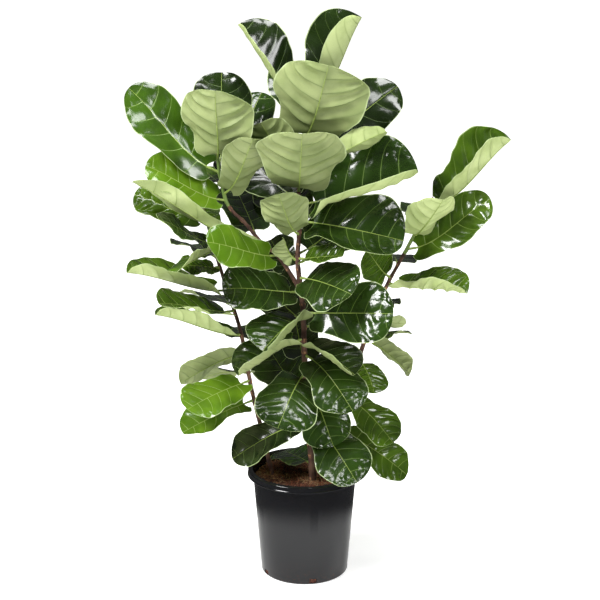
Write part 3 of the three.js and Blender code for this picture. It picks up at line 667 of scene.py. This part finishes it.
def add_piece(name, points, faces, finishes, nodes, which=None, maps=None, sharp=SHARP_ANGLE):
    """A mesh from points in millimetres, which stands for the named CAD nodes."""
    mesh = bpy.data.meshes.new(name)
    mesh.from_pydata((np.asarray(points) * MM).tolist(), [], faces)
    for label, values in (maps or {}).items():
        layer = mesh.uv_layers.new(name=label)
        layer.data.foreach_set("uv", np.asarray(values, dtype=np.float32).ravel())
    for finish in finishes:
        mesh.materials.append(finish)
    if which is not None:
        mesh.polygons.foreach_set("material_index", np.asarray(which, dtype=np.int32))
    mesh.shade_smooth()
    mesh.set_sharp_from_angle(angle=math.radians(sharp))
    piece = bpy.data.objects.new(name, mesh)
    bpy.context.scene.collection.objects.link(piece)
    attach(piece, BODY)
    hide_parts(*nodes)
    return piece


def unit(vectors):
    return vectors / np.linalg.norm(vectors, axis=-1, keepdims=True)


def without(vectors, directions):
    """The vectors, less what of them lies along the directions."""
    return vectors - directions * np.sum(vectors * directions, axis=-1, keepdims=True)


def stem_centre(stem, height):
    """The centre line of a stem at a height: a smooth curve through its points."""
    points = stem["points"]
    i = 0
    while i + 2 < len(points) and height > points[i + 1][2]:
        i += 1
    start, end = points[i], points[i + 1]
    span = end[2] - start[2]
    s = (height - start[2]) / span

    def slope(k, axis):
        before, after = points[max(k - 1, 0)], points[min(k + 1, len(points) - 1)]
        return (after[axis] - before[axis]) / (after[2] - before[2])

    at = [
        start[axis] * (2 * s**3 - 3 * s**2 + 1)
        + end[axis] * (3 * s**2 - 2 * s**3)
        + slope(i, axis) * span * (s**3 - 2 * s**2 + s)
        + slope(i + 1, axis) * span * (s**3 - s**2)
        for axis in (0, 1)
    ]
    return np.array([*at, height])


def stem_direction(stem, height):
    return unit(stem_centre(stem, height + PROBE) - stem_centre(stem, height - PROBE))


def stem_axes(stem, height):
    """A place on a stem's centre line, the way the stem runs there, and two directions square to it."""
    direction = stem_direction(stem, min(height, stem["points"][-1][2] - PROBE))
    right = unit(without(np.array([1.0, 0.0, 0.0]), direction))
    return stem_centre(stem, height), direction, right, np.cross(direction, right)


def stem_radius(stem, height):
    foot, top = stem["points"][0][2], stem["points"][-1][2]
    return stem["radius"][0] + (stem["radius"][1] - stem["radius"][0]) * (height - foot) / (top - foot)


class Leaf:
    """The form of one leaf: its midrib, and the middle surface of its blade."""

    def __init__(self, order, row):
        (name, height, tip, facing, self.width, bow, *self.halves, self.wave, self.above, self.below) = row
        stem = STEMS[name]
        centre = stem_centre(stem, height)
        self.stem, self.height = name, height
        self.loose = height <= stem["wood"]
        tip = np.array(tip, dtype=float)
        self.out = unit(without(tip - centre, stem_direction(stem, height)))
        root = centre + self.out * (stem_radius(stem, height) + SEAT_GAP if self.loose else 0)
        self.length = np.linalg.norm(tip - root)
        straight = unit(tip - root)
        self.up = unit(without(np.array(facing, dtype=float), straight))
        leave = unit(self.out + straight)
        first = root + leave * self.length / 3 + self.up * bow * BOW_LEAD
        second = root + straight * self.length * 2 / 3 + self.up * bow
        self.hooks = (root, first, second, tip)
        self.phase = order * WAVE_TURN

    def frame(self, s):
        """Places on the midrib, with the directions along it, across the blade, and up from it."""
        root, first, second, tip = self.hooks
        s = np.asarray(s)[..., None]
        r = 1 - s
        at = root * r**3 + first * 3 * r**2 * s + second * 3 * r * s**2 + tip * s**3
        along = unit((first - root) * r**2 + (second - first) * 2 * r * s + (tip - second) * s**2)
        normal = unit(without(self.up, along))
        return at, along, normal, np.cross(along, normal)

    def half_width(self, u):
        """Half the width: two rounded lobes at the base, a waist, and a broad round end."""
        past = np.maximum(u - WIDEST_AT, 0) / TIP_REACH
        before = np.minimum(np.maximum(WIDEST_AT - u, 0) / BROAD_REACH, 1)
        broad = np.where(u > WIDEST_AT, np.sqrt(1 - past**2), np.cos(before * math.pi / 2))
        reach = np.minimum(np.abs(u - LOBE_AT) / LOBE_REACH, 1)
        lobe = LOBE_WIDTH * np.sqrt(1 - reach**2)
        corner = np.sqrt(1 - (1 - np.minimum(u / LOBE_CORNER_AT, 1)) ** 2)
        rounded = LOBE_CORNER + (1 - LOBE_CORNER) * corner
        outline = (broad**OUTLINE_BLEND + lobe**OUTLINE_BLEND) ** (1 / OUTLINE_BLEND)
        return self.width / 2 * rounded * outline

    def risen(self, s, t):
        """How far up the blade a row of points is at each place across. Rows rise like side veins."""
        across = np.abs(t)
        slope = VEIN_SLOPE * min(self.width / 2 / self.length, VEIN_SLOPE_LIMIT)
        rise = slope * (across + across**VEIN_CURVE) / 2
        return s + rise * (1 - (1 - s) ** VEIN_BASE_POWER) * (1 - s**VEIN_TIP_POWER)

    def relief(self, s, t):
        """How high the blade stands between side veins, and its blisters, which grow to the tip."""
        across = np.abs(t)
        share = 0.5 - 0.5 * np.cos(2 * math.pi * vein_number(s, t))
        uneven = 1 + QUILT_UNEVEN * np.sin(QUILT_DRIFT[0] * s + QUILT_DRIFT[1] * t + self.phase)
        quilt = QUILT_SHARES[self.above] * uneven * (share**QUILT_POWER - 0.5)
        blister = 1
        for turns, (along, sideways) in enumerate(BLISTER_WAVES, 1):
            blister = blister * np.sin(along * s + sideways * t + turns * self.phase)
        beside_rib = 1 - (1 - np.minimum(across / QUILT_FULL_AT, 1)) ** 2
        window = beside_rib * (1 - across**RELIEF_MARGIN_POWER)
        window = window * (1 - (1 - s) ** RELIEF_BASE_POWER) * (1 - s**RELIEF_TIP_POWER)
        return self.width * (quilt + BLISTER_SHARES[self.above] * blister * s**2) * window

    def blade(self, s, t):
        """Places on the middle surface and the way it faces there."""
        across = np.abs(t)
        u = self.risen(s, t)
        lobes = LOBE_BACK * (1 - u) ** LOBE_BACK_POWER * t**2
        rounding = TIP_ROUND * u**TIP_ROUND_POWER * t**2
        at, _, normal, side = self.frame(PETIOLE_SHARE + (1 - PETIOLE_SHARE) * (u - lobes - rounding))
        uneven = np.sin(UNEVEN_WAVE * u + UNEVEN_SIDE_TURN * np.sign(t) + self.phase)
        half = self.half_width(u) * (1 + UNEVEN_MARGIN * across * uneven)
        folded = FOLD_AT_BASE + (1 - FOLD_AT_BASE) * np.minimum(u / FOLD_FULL_AT, 1)
        right, left = np.radians(self.halves)
        low = np.where(t > 0, right[0], left[0]) * folded
        turn = np.where(t > 0, right[1] - right[0], left[1] - left[0]) * folded
        turn = np.where(turn == 0, LEAST_TURN, turn)
        angle = low + turn * across
        outward = half * (np.sin(angle) - np.sin(low)) / turn * np.sign(t)
        lift = half * (np.cos(low) - np.cos(angle)) / turn
        start = self.phase + np.where(t > 0, 0, LEFT_WAVE_TURN)
        ripple = self.wave * t**2 * np.sin(2 * math.pi * WAVES * u + start)
        fine = self.wave * FINE_WAVE_SHARE * t**4 * np.sin(2 * math.pi * FINE_WAVES * u + start)
        skin = normal * np.cos(angle)[..., None] - side * (np.sin(angle) * np.sign(t))[..., None]
        at = at + side * outward[..., None] + normal * (lift + (ripple + fine))[..., None]
        return at + skin * self.relief(s, t)[..., None], skin


def vein_number(s, t):
    """Counts the side veins from the base: a vein runs where it is a whole number."""
    return VEIN_COUNT * s + np.where(t < 0, LEFT_VEIN_SHIFT, 0)


def loft_faces(rows, count, first=0):
    """Four-sided faces over rings of as many points each, closed round and facing out."""
    row, side = np.meshgrid(np.arange(rows - 1), np.arange(count), indexing="ij")
    after = (side + 1) % count
    a, b = row * count + side, row * count + after
    return (np.stack([a, a + count, b + count, b], axis=-1).reshape(-1, 4) + first).tolist()


def end_face(rows, count):
    """The face that closes the last ring of a loft."""
    return list(range(rows * count - 1, (rows - 1) * count - 1, -1))


def crowded(count, share):
    """Values from 0 to 1 that lie closer together at both ends."""
    x = np.linspace(0, 1, count)
    return x - share * np.sin(2 * math.pi * x) / (2 * math.pi)


def stalk_rings(leaf):
    """The stalk and, sunk into the blade's under face, the midrib that goes on from it."""
    s = crowded(PETIOLE_RINGS, PETIOLE_CROWDING) * RIB_END
    at, along, normal, side = leaf.frame(s)
    on_blade = np.clip((s - PETIOLE_SHARE + RIB_START) / RIB_BLEND, 0, 1)
    radius = PETIOLE_RADIUS * (1 - on_blade) + RIB_RADIUS * (1 - RIB_TAPER * s) * on_blade
    radius = radius * (1 + PETIOLE_SWELL * np.exp(-s * leaf.length / PETIOLE_SWELL_REACH))
    centre = at - normal * (radius * (1 - RIB_SINK) * on_blade)[:, None]
    centre[0] = centre[0] - along[0] * (PETIOLE_RADIUS / 2 if leaf.loose else 0)
    angle = math.pi * (2 * np.arange(PETIOLE_SIDES) + 1) / PETIOLE_SIDES
    spokes = side[:, None] * np.cos(angle)[None, :, None] + normal[:, None] * np.sin(angle)[None, :, None]
    return centre[:, None] + spokes * radius[:, None, None]


def make_leaf(name, leaf, node, finishes):
    """One leaf: a closed blade with maps for its veins, and the stalk with the midrib."""
    upper, under, margin, rib = range(4)
    stations = crowded(STATION_COUNT, STATION_CROWDING)
    columns = 1 - 2 * crowded(ACROSS_COUNT, ACROSS_CROWDING)
    columns[ACROSS_COUNT // 2] = 0
    s, t = np.meshgrid(stations, columns, indexing="ij")
    at, skin = leaf.blade(s, t)
    over = at + skin * BLADE_THICKNESS / 2
    below = at - skin * BLADE_THICKNESS / 2
    rings = np.concatenate([over, below[:, ::-1]], axis=1)
    around = 2 * ACROSS_COUNT
    faces = loft_faces(STATION_COUNT, around)
    side = np.tile(np.arange(around), STATION_COUNT - 1)
    which = np.where(side < ACROSS_COUNT - 1, upper, under)
    which[(side == ACROSS_COUNT - 1) | (side == around - 1)] = margin
    for row, flipped in [(0, True), (STATION_COUNT - 1, False)]:
        for k in range(ACROSS_COUNT - 1):
            first, last = row * around + k, row * around + around - 1 - k
            face = [last, last - 1, first + 1, first]
            faces.append(face[::-1] if flipped else face)
    which = np.concatenate([which, np.full(2 * (ACROSS_COUNT - 1), margin)])

    blade_faces = np.array(faces)
    ring_s = np.repeat(stations, around)
    ring_t = np.tile(np.concatenate([columns, columns[::-1]]), STATION_COUNT)
    face_s, face_t = ring_s[blade_faces], ring_t[blade_faces]
    face_side = np.where(face_t.mean(axis=1, keepdims=True) < 0, -1.0, 1.0)
    number = vein_number(face_s, face_side * np.ones(4))
    face_u = leaf.risen(face_s, face_t)
    distance = np.abs(face_t) * leaf.half_width(face_u) / MM_IN_CM
    blade_map = np.stack([face_u, np.abs(face_t)], axis=-1).reshape(-1, 2)
    vein_map = np.stack([number, distance], axis=-1).reshape(-1, 2)

    stalk = stalk_rings(leaf)
    stalk_faces = loft_faces(PETIOLE_RINGS, PETIOLE_SIDES, rings.shape[0] * around)
    points = np.concatenate([rings.reshape(-1, 3), stalk.reshape(-1, 3)])
    which = np.concatenate([which, np.full(len(stalk_faces), rib)])
    blank = np.zeros((4 * len(stalk_faces), 2))
    maps = {"blade": np.concatenate([blade_map, blank]), "veins": np.concatenate([vein_map, blank])}
    keys = [("upper", leaf.above), ("under", leaf.below), "margin", "rib"]
    used = [finishes[key] for key in keys]
    add_piece(name, points, faces + stalk_faces, used, [node], which, maps)


def stem_surface(stem, low, high):
    """Rings of points round a stem, with swollen nodes, fine ridges, and a seat under each stalk.
    Beside the rings comes how much each point lies on a leaf scar."""
    seats = [leaf for leaf in LEAF_FORMS if STEMS[leaf.stem] is stem]
    angles = -2 * math.pi * np.arange(STEM_SIDES) / STEM_SIDES
    rings, scars = [], []
    for height in np.append(np.arange(low, high, STEM_STEP), high):
        centre, _, right, back = stem_axes(stem, height)
        radius = stem_radius(stem, height)
        from_node = abs((height + NODE_PITCH / 2) % NODE_PITCH - NODE_PITCH / 2)
        swell = 1 + NODE_SWELL * math.exp(-((from_node / NODE_REACH) ** 2))
        ring, scar = [], []
        for angle in angles:
            spoke = right * math.cos(angle) + back * math.sin(angle)
            ridge = noise.noise(Vector((*(spoke[:2] * RIDGES_ROUND), height / RIDGE_PITCH)))
            lump = noise.noise(Vector((*(spoke[:2] * LUMPS_ROUND), height / LUMP_PITCH + LUMP_SHIFT)))
            seat = sum(
                max(spoke @ leaf.out, 0) ** 2
                * math.exp(-(((height - leaf.height + SEAT_DROP) / SEAT_REACH) ** 2))
                for leaf in seats
            )
            reach = radius * (swell + RIDGE * ridge + LUMP * lump + SEAT_SWELL * seat)
            ring.append(centre + spoke * reach)
            old_scar = SCAR_LENGTH - abs(from_node - SCAR_LENGTH) if lump > SCAR_RARITY else 0
            scar.append(min(max(old_scar, 0), 1))
        rings.append(ring)
        scars.append(scar)
    return np.array(rings), np.array(scars)


def make_stem(name, stem, low, high, node, finish):
    rings, scars = stem_surface(stem, low, high)
    faces = loft_faces(len(rings), STEM_SIDES)
    caps = [list(range(STEM_SIDES)), end_face(len(rings), STEM_SIDES)]
    corners = np.concatenate([np.ravel(faces), *[np.array(cap) for cap in caps]])
    marks = np.stack([scars.ravel()[corners], np.zeros(len(corners))], axis=-1)
    add_piece(name, rings.reshape(-1, 3), faces + caps, [finish], [node], maps={"scars": marks})


def make_bud(name, stem, node, finish):
    """The pointed bud at the end of a shoot, in its two papery scales."""
    top = stem["points"][-1][2]
    centre, direction, right, back = stem_axes(stem, top)
    angles = -2 * math.pi * np.arange(BUD_SIDES) / BUD_SIDES
    spokes = right * np.cos(angles)[:, None] + back * np.sin(angles)[:, None]
    rings = []
    for share in crowded(BUD_RINGS, BUD_CROWDING):
        radius = stem_radius(stem, top) * (1 - share**2) ** BUD_FULLNESS + BUD_TIP_RADIUS
        crease = 1 + BUD_CREASE * np.cos(2 * angles + BUD_TWIST * share)
        rings.append(centre + direction * BUD_LENGTH * share + spokes * (radius * crease)[:, None])
    points = np.array(rings).reshape(-1, 3)
    faces = loft_faces(BUD_RINGS, BUD_SIDES) + [end_face(BUD_RINGS, BUD_SIDES)]
    add_piece(name, points, faces, [finish], [node])


def rounded(profile, radius):
    """The profile with each corner cut to a small curve."""
    corners = [np.array(point, dtype=float) for point in profile]
    points = [corners[0]]
    for before, corner, after in zip(corners, corners[1:], corners[2:]):
        shorter = min(np.linalg.norm(before - corner), np.linalg.norm(after - corner))
        reach = min(radius, CORNER_SHARE * shorter)
        start, end = corner + unit(before - corner) * reach, corner + unit(after - corner) * reach
        for s in np.linspace(0, 1, CORNER_STEPS):
            points.append(start * (1 - s) ** 2 + corner * 2 * s * (1 - s) + end * s**2)
    return np.array([*points, corners[-1]])


def turned(profile, segments):
    """Points and faces of the body that a profile sweeps round the pot's axis."""
    angles = 2 * math.pi * np.arange(segments) / segments
    rings = np.stack(
        [
            np.outer(np.cos(angles), profile[:, 0]),
            np.outer(np.sin(angles), profile[:, 0]),
            np.tile(profile[:, 1], (segments, 1)),
        ],
        axis=-1,
    )
    count = len(profile)
    ring, k = np.meshgrid(np.arange(segments), np.arange(count - 1), indexing="ij")
    a, b = ring * count + k, (ring + 1) % segments * count + k
    faces = np.stack([a, b, b + 1, a + 1], axis=-1)
    return rings.reshape(-1, 3), faces.reshape(-1, 4).tolist()


def merged(piece):
    """Joins the corners that lie at one place, such as those on a turned body's axis."""
    form = bmesh.new()
    form.from_mesh(piece.data)
    bmesh.ops.remove_doubles(form, verts=form.verts, dist=MERGE_DISTANCE)
    bmesh.ops.recalc_face_normals(form, faces=form.faces)
    form.to_mesh(piece.data)
    form.free()


def make_pot():
    shoulder = POT_HEIGHT - LIP_HEIGHT
    skirt = RIM_RADIUS - WALL
    profile = [
        (0, 0),
        (BODY_FOOT_RADIUS - FOOT_CHAMFER, 0),
        (BODY_FOOT_RADIUS, FOOT_CHAMFER),
        (BODY_TOP_RADIUS, shoulder),
        (BODY_TOP_RADIUS + WALL, POT_HEIGHT - 2 * WALL),
        (skirt - LIP_BEAD, POT_HEIGHT - 2 * WALL),
        (skirt, shoulder),
        (RIM_RADIUS, shoulder),
        (RIM_RADIUS, shoulder + 2 * LIP_BEAD),
        (RIM_RADIUS - LIP_BEAD, shoulder + 3 * LIP_BEAD),
        (RIM_RADIUS - LIP_BEAD, POT_HEIGHT - WALL),
        (RIM_RADIUS - 2 * WALL, POT_HEIGHT),
        (BODY_TOP_RADIUS + WALL, POT_HEIGHT),
        (BODY_TOP_RADIUS, POT_HEIGHT - WALL),
        (BODY_TOP_RADIUS - WALL, shoulder),
        (BODY_FOOT_RADIUS - WALL, FLOOR),
        (0, FLOOR),
    ]
    points, faces = turned(rounded(profile, POT_EDGE), POT_SEGMENTS)
    pot = add_piece(
        "moulded_pot", points, faces, [pot_finish()], ["nursery_pot"], sharp=POT_SHARP_ANGLE
    )
    merged(pot)
    cutters = []
    for k in range(SLOT_COUNT):
        angle = math.radians(SLOT_FIRST_ANGLE + k * 360 / SLOT_COUNT)
        bpy.ops.mesh.primitive_cube_add(size=1, rotation=(0, 0, angle))
        cutter = bpy.context.object
        cutter.scale = Vector(SLOT_SIZE) * MM
        height = SLOT_ABOVE_FOOT + SLOT_SIZE[2] / 2
        place = (BODY_FOOT_RADIUS * math.cos(angle), BODY_FOOT_RADIUS * math.sin(angle), height)
        cutter.location = Vector(place) * MM
        cut = pot.modifiers.new(f"slot_{k}", "BOOLEAN")
        cut.solver = "EXACT"
        cut.object = cutter
        cutters.append(cutter)
    evaluated = pot.evaluated_get(bpy.context.evaluated_depsgraph_get())
    pot.data = bpy.data.meshes.new_from_object(evaluated)
    pot.modifiers.clear()
    for cutter in cutters:
        bpy.data.objects.remove(cutter)
    pot.data.shade_smooth()
    pot.data.set_sharp_from_angle(angle=math.radians(POT_SHARP_ANGLE))


def inner_radius(height):
    foot, top = BODY_FOOT_RADIUS - WALL, BODY_TOP_RADIUS - WALL
    return foot + (top - foot) * (height - FLOOR) / (POT_HEIGHT - LIP_HEIGHT - FLOOR)


def mix_height(x, y):
    """The mounded top of the mix, with the part's own lumps, then crumbs, then grains."""
    dx, dy = x - MIX_MOUND_CENTRE[0], y - MIX_MOUND_CENTRE[1]
    mound = MIX_MOUND * math.exp(-(dx * dx + dy * dy) / MIX_MOUND_SPREAD**2)
    lumps = MIX_LUMP * math.sin(x / MIX_LUMP_PITCH) * math.cos(y / MIX_LUMP_PITCH)
    crumbs = CRUMB_HEIGHT * noise.noise(Vector((x, y, 0)) / CRUMB_PITCH)
    grains = GRAIN_HEIGHT * noise.noise(Vector((x, y, GRAIN_SHIFT)) / GRAIN_PITCH)
    return MIX_LEVEL + mound + lumps + crumbs + grains


def make_mix():
    foot = FLOOR + SEAT_GAP
    edge = inner_radius(MIX_LEVEL) - SEAT_GAP
    top = [(edge * (1 - k / MIX_RINGS), MIX_LEVEL) for k in range(MIX_RINGS + 1)]
    profile = np.array([(0, foot), (inner_radius(foot) - SEAT_GAP, foot), *top])
    points, faces = turned(profile, MIX_SEGMENTS)
    for point in points:
        x, y, height = point
        if height == MIX_LEVEL:
            point[2] = mix_height(x, y)
    ball = add_piece("coir_mix", points, faces, [mix_finish()], ["potting_mix"])
    merged(ball)


def anywhere(chance):
    """A place on the mix."""
    radius = (inner_radius(MIX_LEVEL) - SCATTER_FROM_WALL) * math.sqrt(chance.random())
    angle = chance.uniform(0, 2 * math.pi)
    return radius * math.cos(angle), radius * math.sin(angle)


def fibre_points(chance, place, sizes):
    """A thin bent tube that lies on the mix."""
    x, y = place
    length, thickness = [chance.uniform(*limits) for limits in sizes]
    heading = chance.uniform(0, 2 * math.pi)
    turn = chance.uniform(-FIBRE_TURN, FIBRE_TURN)
    arch = chance.uniform(*FIBRE_ARCH)
    rings = []
    for k in range(FIBRE_RINGS):
        s = k / (FIBRE_RINGS - 1)
        way = heading + turn * s
        x += math.cos(way) * length / FIBRE_RINGS
        y += math.sin(way) * length / FIBRE_RINGS
        inside = min(1, (inner_radius(MIX_LEVEL) - FIBRE_FROM_WALL) / max(math.hypot(x, y), 1))
        x, y = x * inside, y * inside
        z = mix_height(x, y) + arch * math.sin(math.pi * s) + thickness
        across = (-math.sin(way), math.cos(way))
        size = thickness * (1 - FIBRE_TAPER * abs(2 * s - 1))
        for corner in range(FIBRE_SIDES):
            roll = 2 * math.pi * corner / FIBRE_SIDES
            shift = size * math.cos(roll)
            rings.append((x + across[0] * shift, y + across[1] * shift, z + size * math.sin(roll)))
    return rings


def make_fibres():
    """Loose fibres and chips all over the mix, and tufts of fibres at the feet of two trunks."""
    chance = random.Random(CHANCE_SEED)
    points, faces, which = [], [], []
    tones = list(FIBRE_COLOURS)

    def add(new, tone):
        own = loft_faces(FIBRE_RINGS, FIBRE_SIDES, len(points))
        points.extend(new)
        faces.extend(own)
        which.extend([tone] * len(own))

    for _ in range(FIBRE_COUNT):
        tone = chance.choices(range(len(tones)), weights=FIBRE_SHARES)[0]
        add(fibre_points(chance, anywhere(chance), FIBRE_SIZES), tone)
    for _ in range(CHIP_COUNT):
        chip = fibre_points(chance, anywhere(chance), CHIP_SIZES)
        add(chip, chance.choice(CHIP_TONES))
    for name in TUFT_STEMS:
        foot = stem_centre(STEMS[name], MIX_LEVEL)
        for _ in range(TUFT_COUNT):
            place = [foot[axis] + chance.gauss(0, TUFT_SPREAD) for axis in (0, 1)]
            tone = chance.choices(TUFT_TONES, weights=TUFT_SHARES)[0]
            add(fibre_points(chance, place, TUFT_SIZES), tone)
    used = [fibre_finish(tone) for tone in tones]
    add_piece(
        "coir_fibres", points, faces, used, ["potting_mix"], which, sharp=FIBRE_SHARP_ANGLE
    )


def make_plant():
    """All leaves, then the bark and the green end of each stem with its bud. The branch starts inside
    the middle trunk and belongs to its node. The trunks start just above the floor of their holes."""
    finishes = {("upper", tone): leaf_finish("upper", tone) for tone in UPPER_TONES}
    finishes |= {("under", tone): leaf_finish("under", tone) for tone in UNDER_TONES}
    # The edge strip is painted pale: a painted highlight of the rim, streaked with the stalk's green.
    margin_colours = [MARGIN_HIGHLIGHT_COLOUR, RIB_COLOURS[0]]
    finishes["margin"] = streaked("leaf_margin_highlight", margin_colours, ROUGHNESS["margin"])[0].material
    finishes["rib"] = streaked("leaf_stalk", RIB_COLOURS, ROUGHNESS["rib"])[0].material
    for name in STEMS:
        own = [leaf for leaf in LEAF_FORMS if leaf.stem == name]
        for number, leaf in enumerate([leaf for leaf in own if leaf.loose], 1):
            make_leaf(f"blade_{name}_{number:02d}", leaf, f"leaf_{name}_{number:02d}", finishes)
        for number, leaf in enumerate([leaf for leaf in own if not leaf.loose], 1):
            make_leaf(f"young_blade_{name}_{number:02d}", leaf, f"shoot_{name}", finishes)
    bark = bark_finish()
    green = streaked("green_shoot", SHOOT_COLOURS, ROUGHNESS["shoot"])[0].material
    papery = streaked("bud_scale", BUD_COLOURS, ROUGHNESS["bud"])[0].material
    for name, stem in STEMS.items():
        foot, wood, top = stem["points"][0][2], stem["wood"], stem["points"][-1][2]
        node, low = f"stem_{name}", foot + 2 * SEAT_GAP
        if name == "branch":
            node, low = "stem_centre", foot
        make_stem(f"bark_{name}", stem, low, wood, node, bark)
        make_stem(f"green_{name}", stem, wood, top, f"shoot_{name}", green)
        make_bud(f"bud_{name}", stem, f"shoot_{name}", papery)


def make_camera():
    data = bpy.data.cameras.new("camera")
    data.lens = CAMERA_LENS
    data.sensor_width = CAMERA_SENSOR
    camera = bpy.data.objects.new("camera", data)
    camera.location = CAMERA_PLACE
    camera.rotation_euler = (math.radians(90 - CAMERA_PITCH), 0, 0)
    bpy.context.scene.collection.objects.link(camera)
    bpy.context.scene.camera = camera


def make_light(name, place, target, size, power):
    data = bpy.data.lights.new(name, "AREA")
    data.shape = "RECTANGLE"
    data.size, data.size_y = size
    data.energy = power
    light = bpy.data.objects.new(name, data)
    light.location = place
    light.rotation_euler = (Vector(target) - Vector(place)).to_track_quat("-Z", "Y").to_euler()
    bpy.context.scene.collection.objects.link(light)


def make_floor():
    """A pale floor that glows with painted light and fades into the white of the room, with a painted dim
    reflection in glossy pieces.
    """
    finish = Finish("floor")
    bpy.ops.mesh.primitive_circle_add(vertices=FLOOR_SIDES, radius=FLOOR_REACH, fill_type="NGON")
    floor = bpy.context.object
    floor.name = "floor"
    away = finish.node("VectorMath", "Value", {0: finish.place}, operation="LENGTH")
    cloud = finish.maths("MULTIPLY", finish.noise(FLOOR_CLOUD_SCALE), FLOOR_CLOUD_SHARE)
    painted_glow = finish.ramp(away, *FLOOR_FADE, FLOOR_GLOW, 1.0)
    mirrored = finish.node("LightPath", "Is Glossy Ray", {})
    far = finish.ramp(away, *MIRROR_FADE, *MIRROR_DIM)
    painted_dim = finish.maths("MULTIPLY", mirrored, far)
    pale = finish.mix(cloud, *[screen(each) for each in FLOOR_COLOURS])
    finish.paint(
        Base_Color=finish.mix(painted_dim, pale, BLACK),
        Roughness=FLOOR_ROUGHNESS,
        # The floor's glow is painted light that lights the plant, though the floor is no lamp.
        Emission_Color=WHITE,
        Emission_Strength=finish.maths("MULTIPLY", painted_glow, finish.maths("SUBTRACT", 1.0, painted_dim)),
    )
    floor.data.materials.append(finish.material)


def make_room():
    """A white room: a plain backdrop for the camera and an even, softer light for the plant."""
    world = bpy.data.worlds.new("room")
    world.use_nodes = True
    nodes, links = world.node_tree.nodes, world.node_tree.links
    seen = nodes.new("ShaderNodeLightPath").outputs["Is Camera Ray"]
    span = nodes.new("ShaderNodeMapRange")
    links.new(seen, span.inputs["Value"])
    span.inputs["To Min"].default_value = ROOM_LIGHT
    span.inputs["To Max"].default_value = 1.0
    background = nodes["Background"]
    background.inputs["Color"].default_value = WHITE
    links.new(span.outputs["Result"], background.inputs["Strength"])
    bpy.context.scene.world = world
    bpy.context.scene.view_settings.view_transform = "Standard"
    for light in LIGHTS:
        make_light(*light)


LEAF_FORMS = [Leaf(order, row) for order, row in enumerate(LEAVES)]
make_camera()
make_room()
make_floor()
make_pot()
make_mix()
make_fibres()
make_plant()
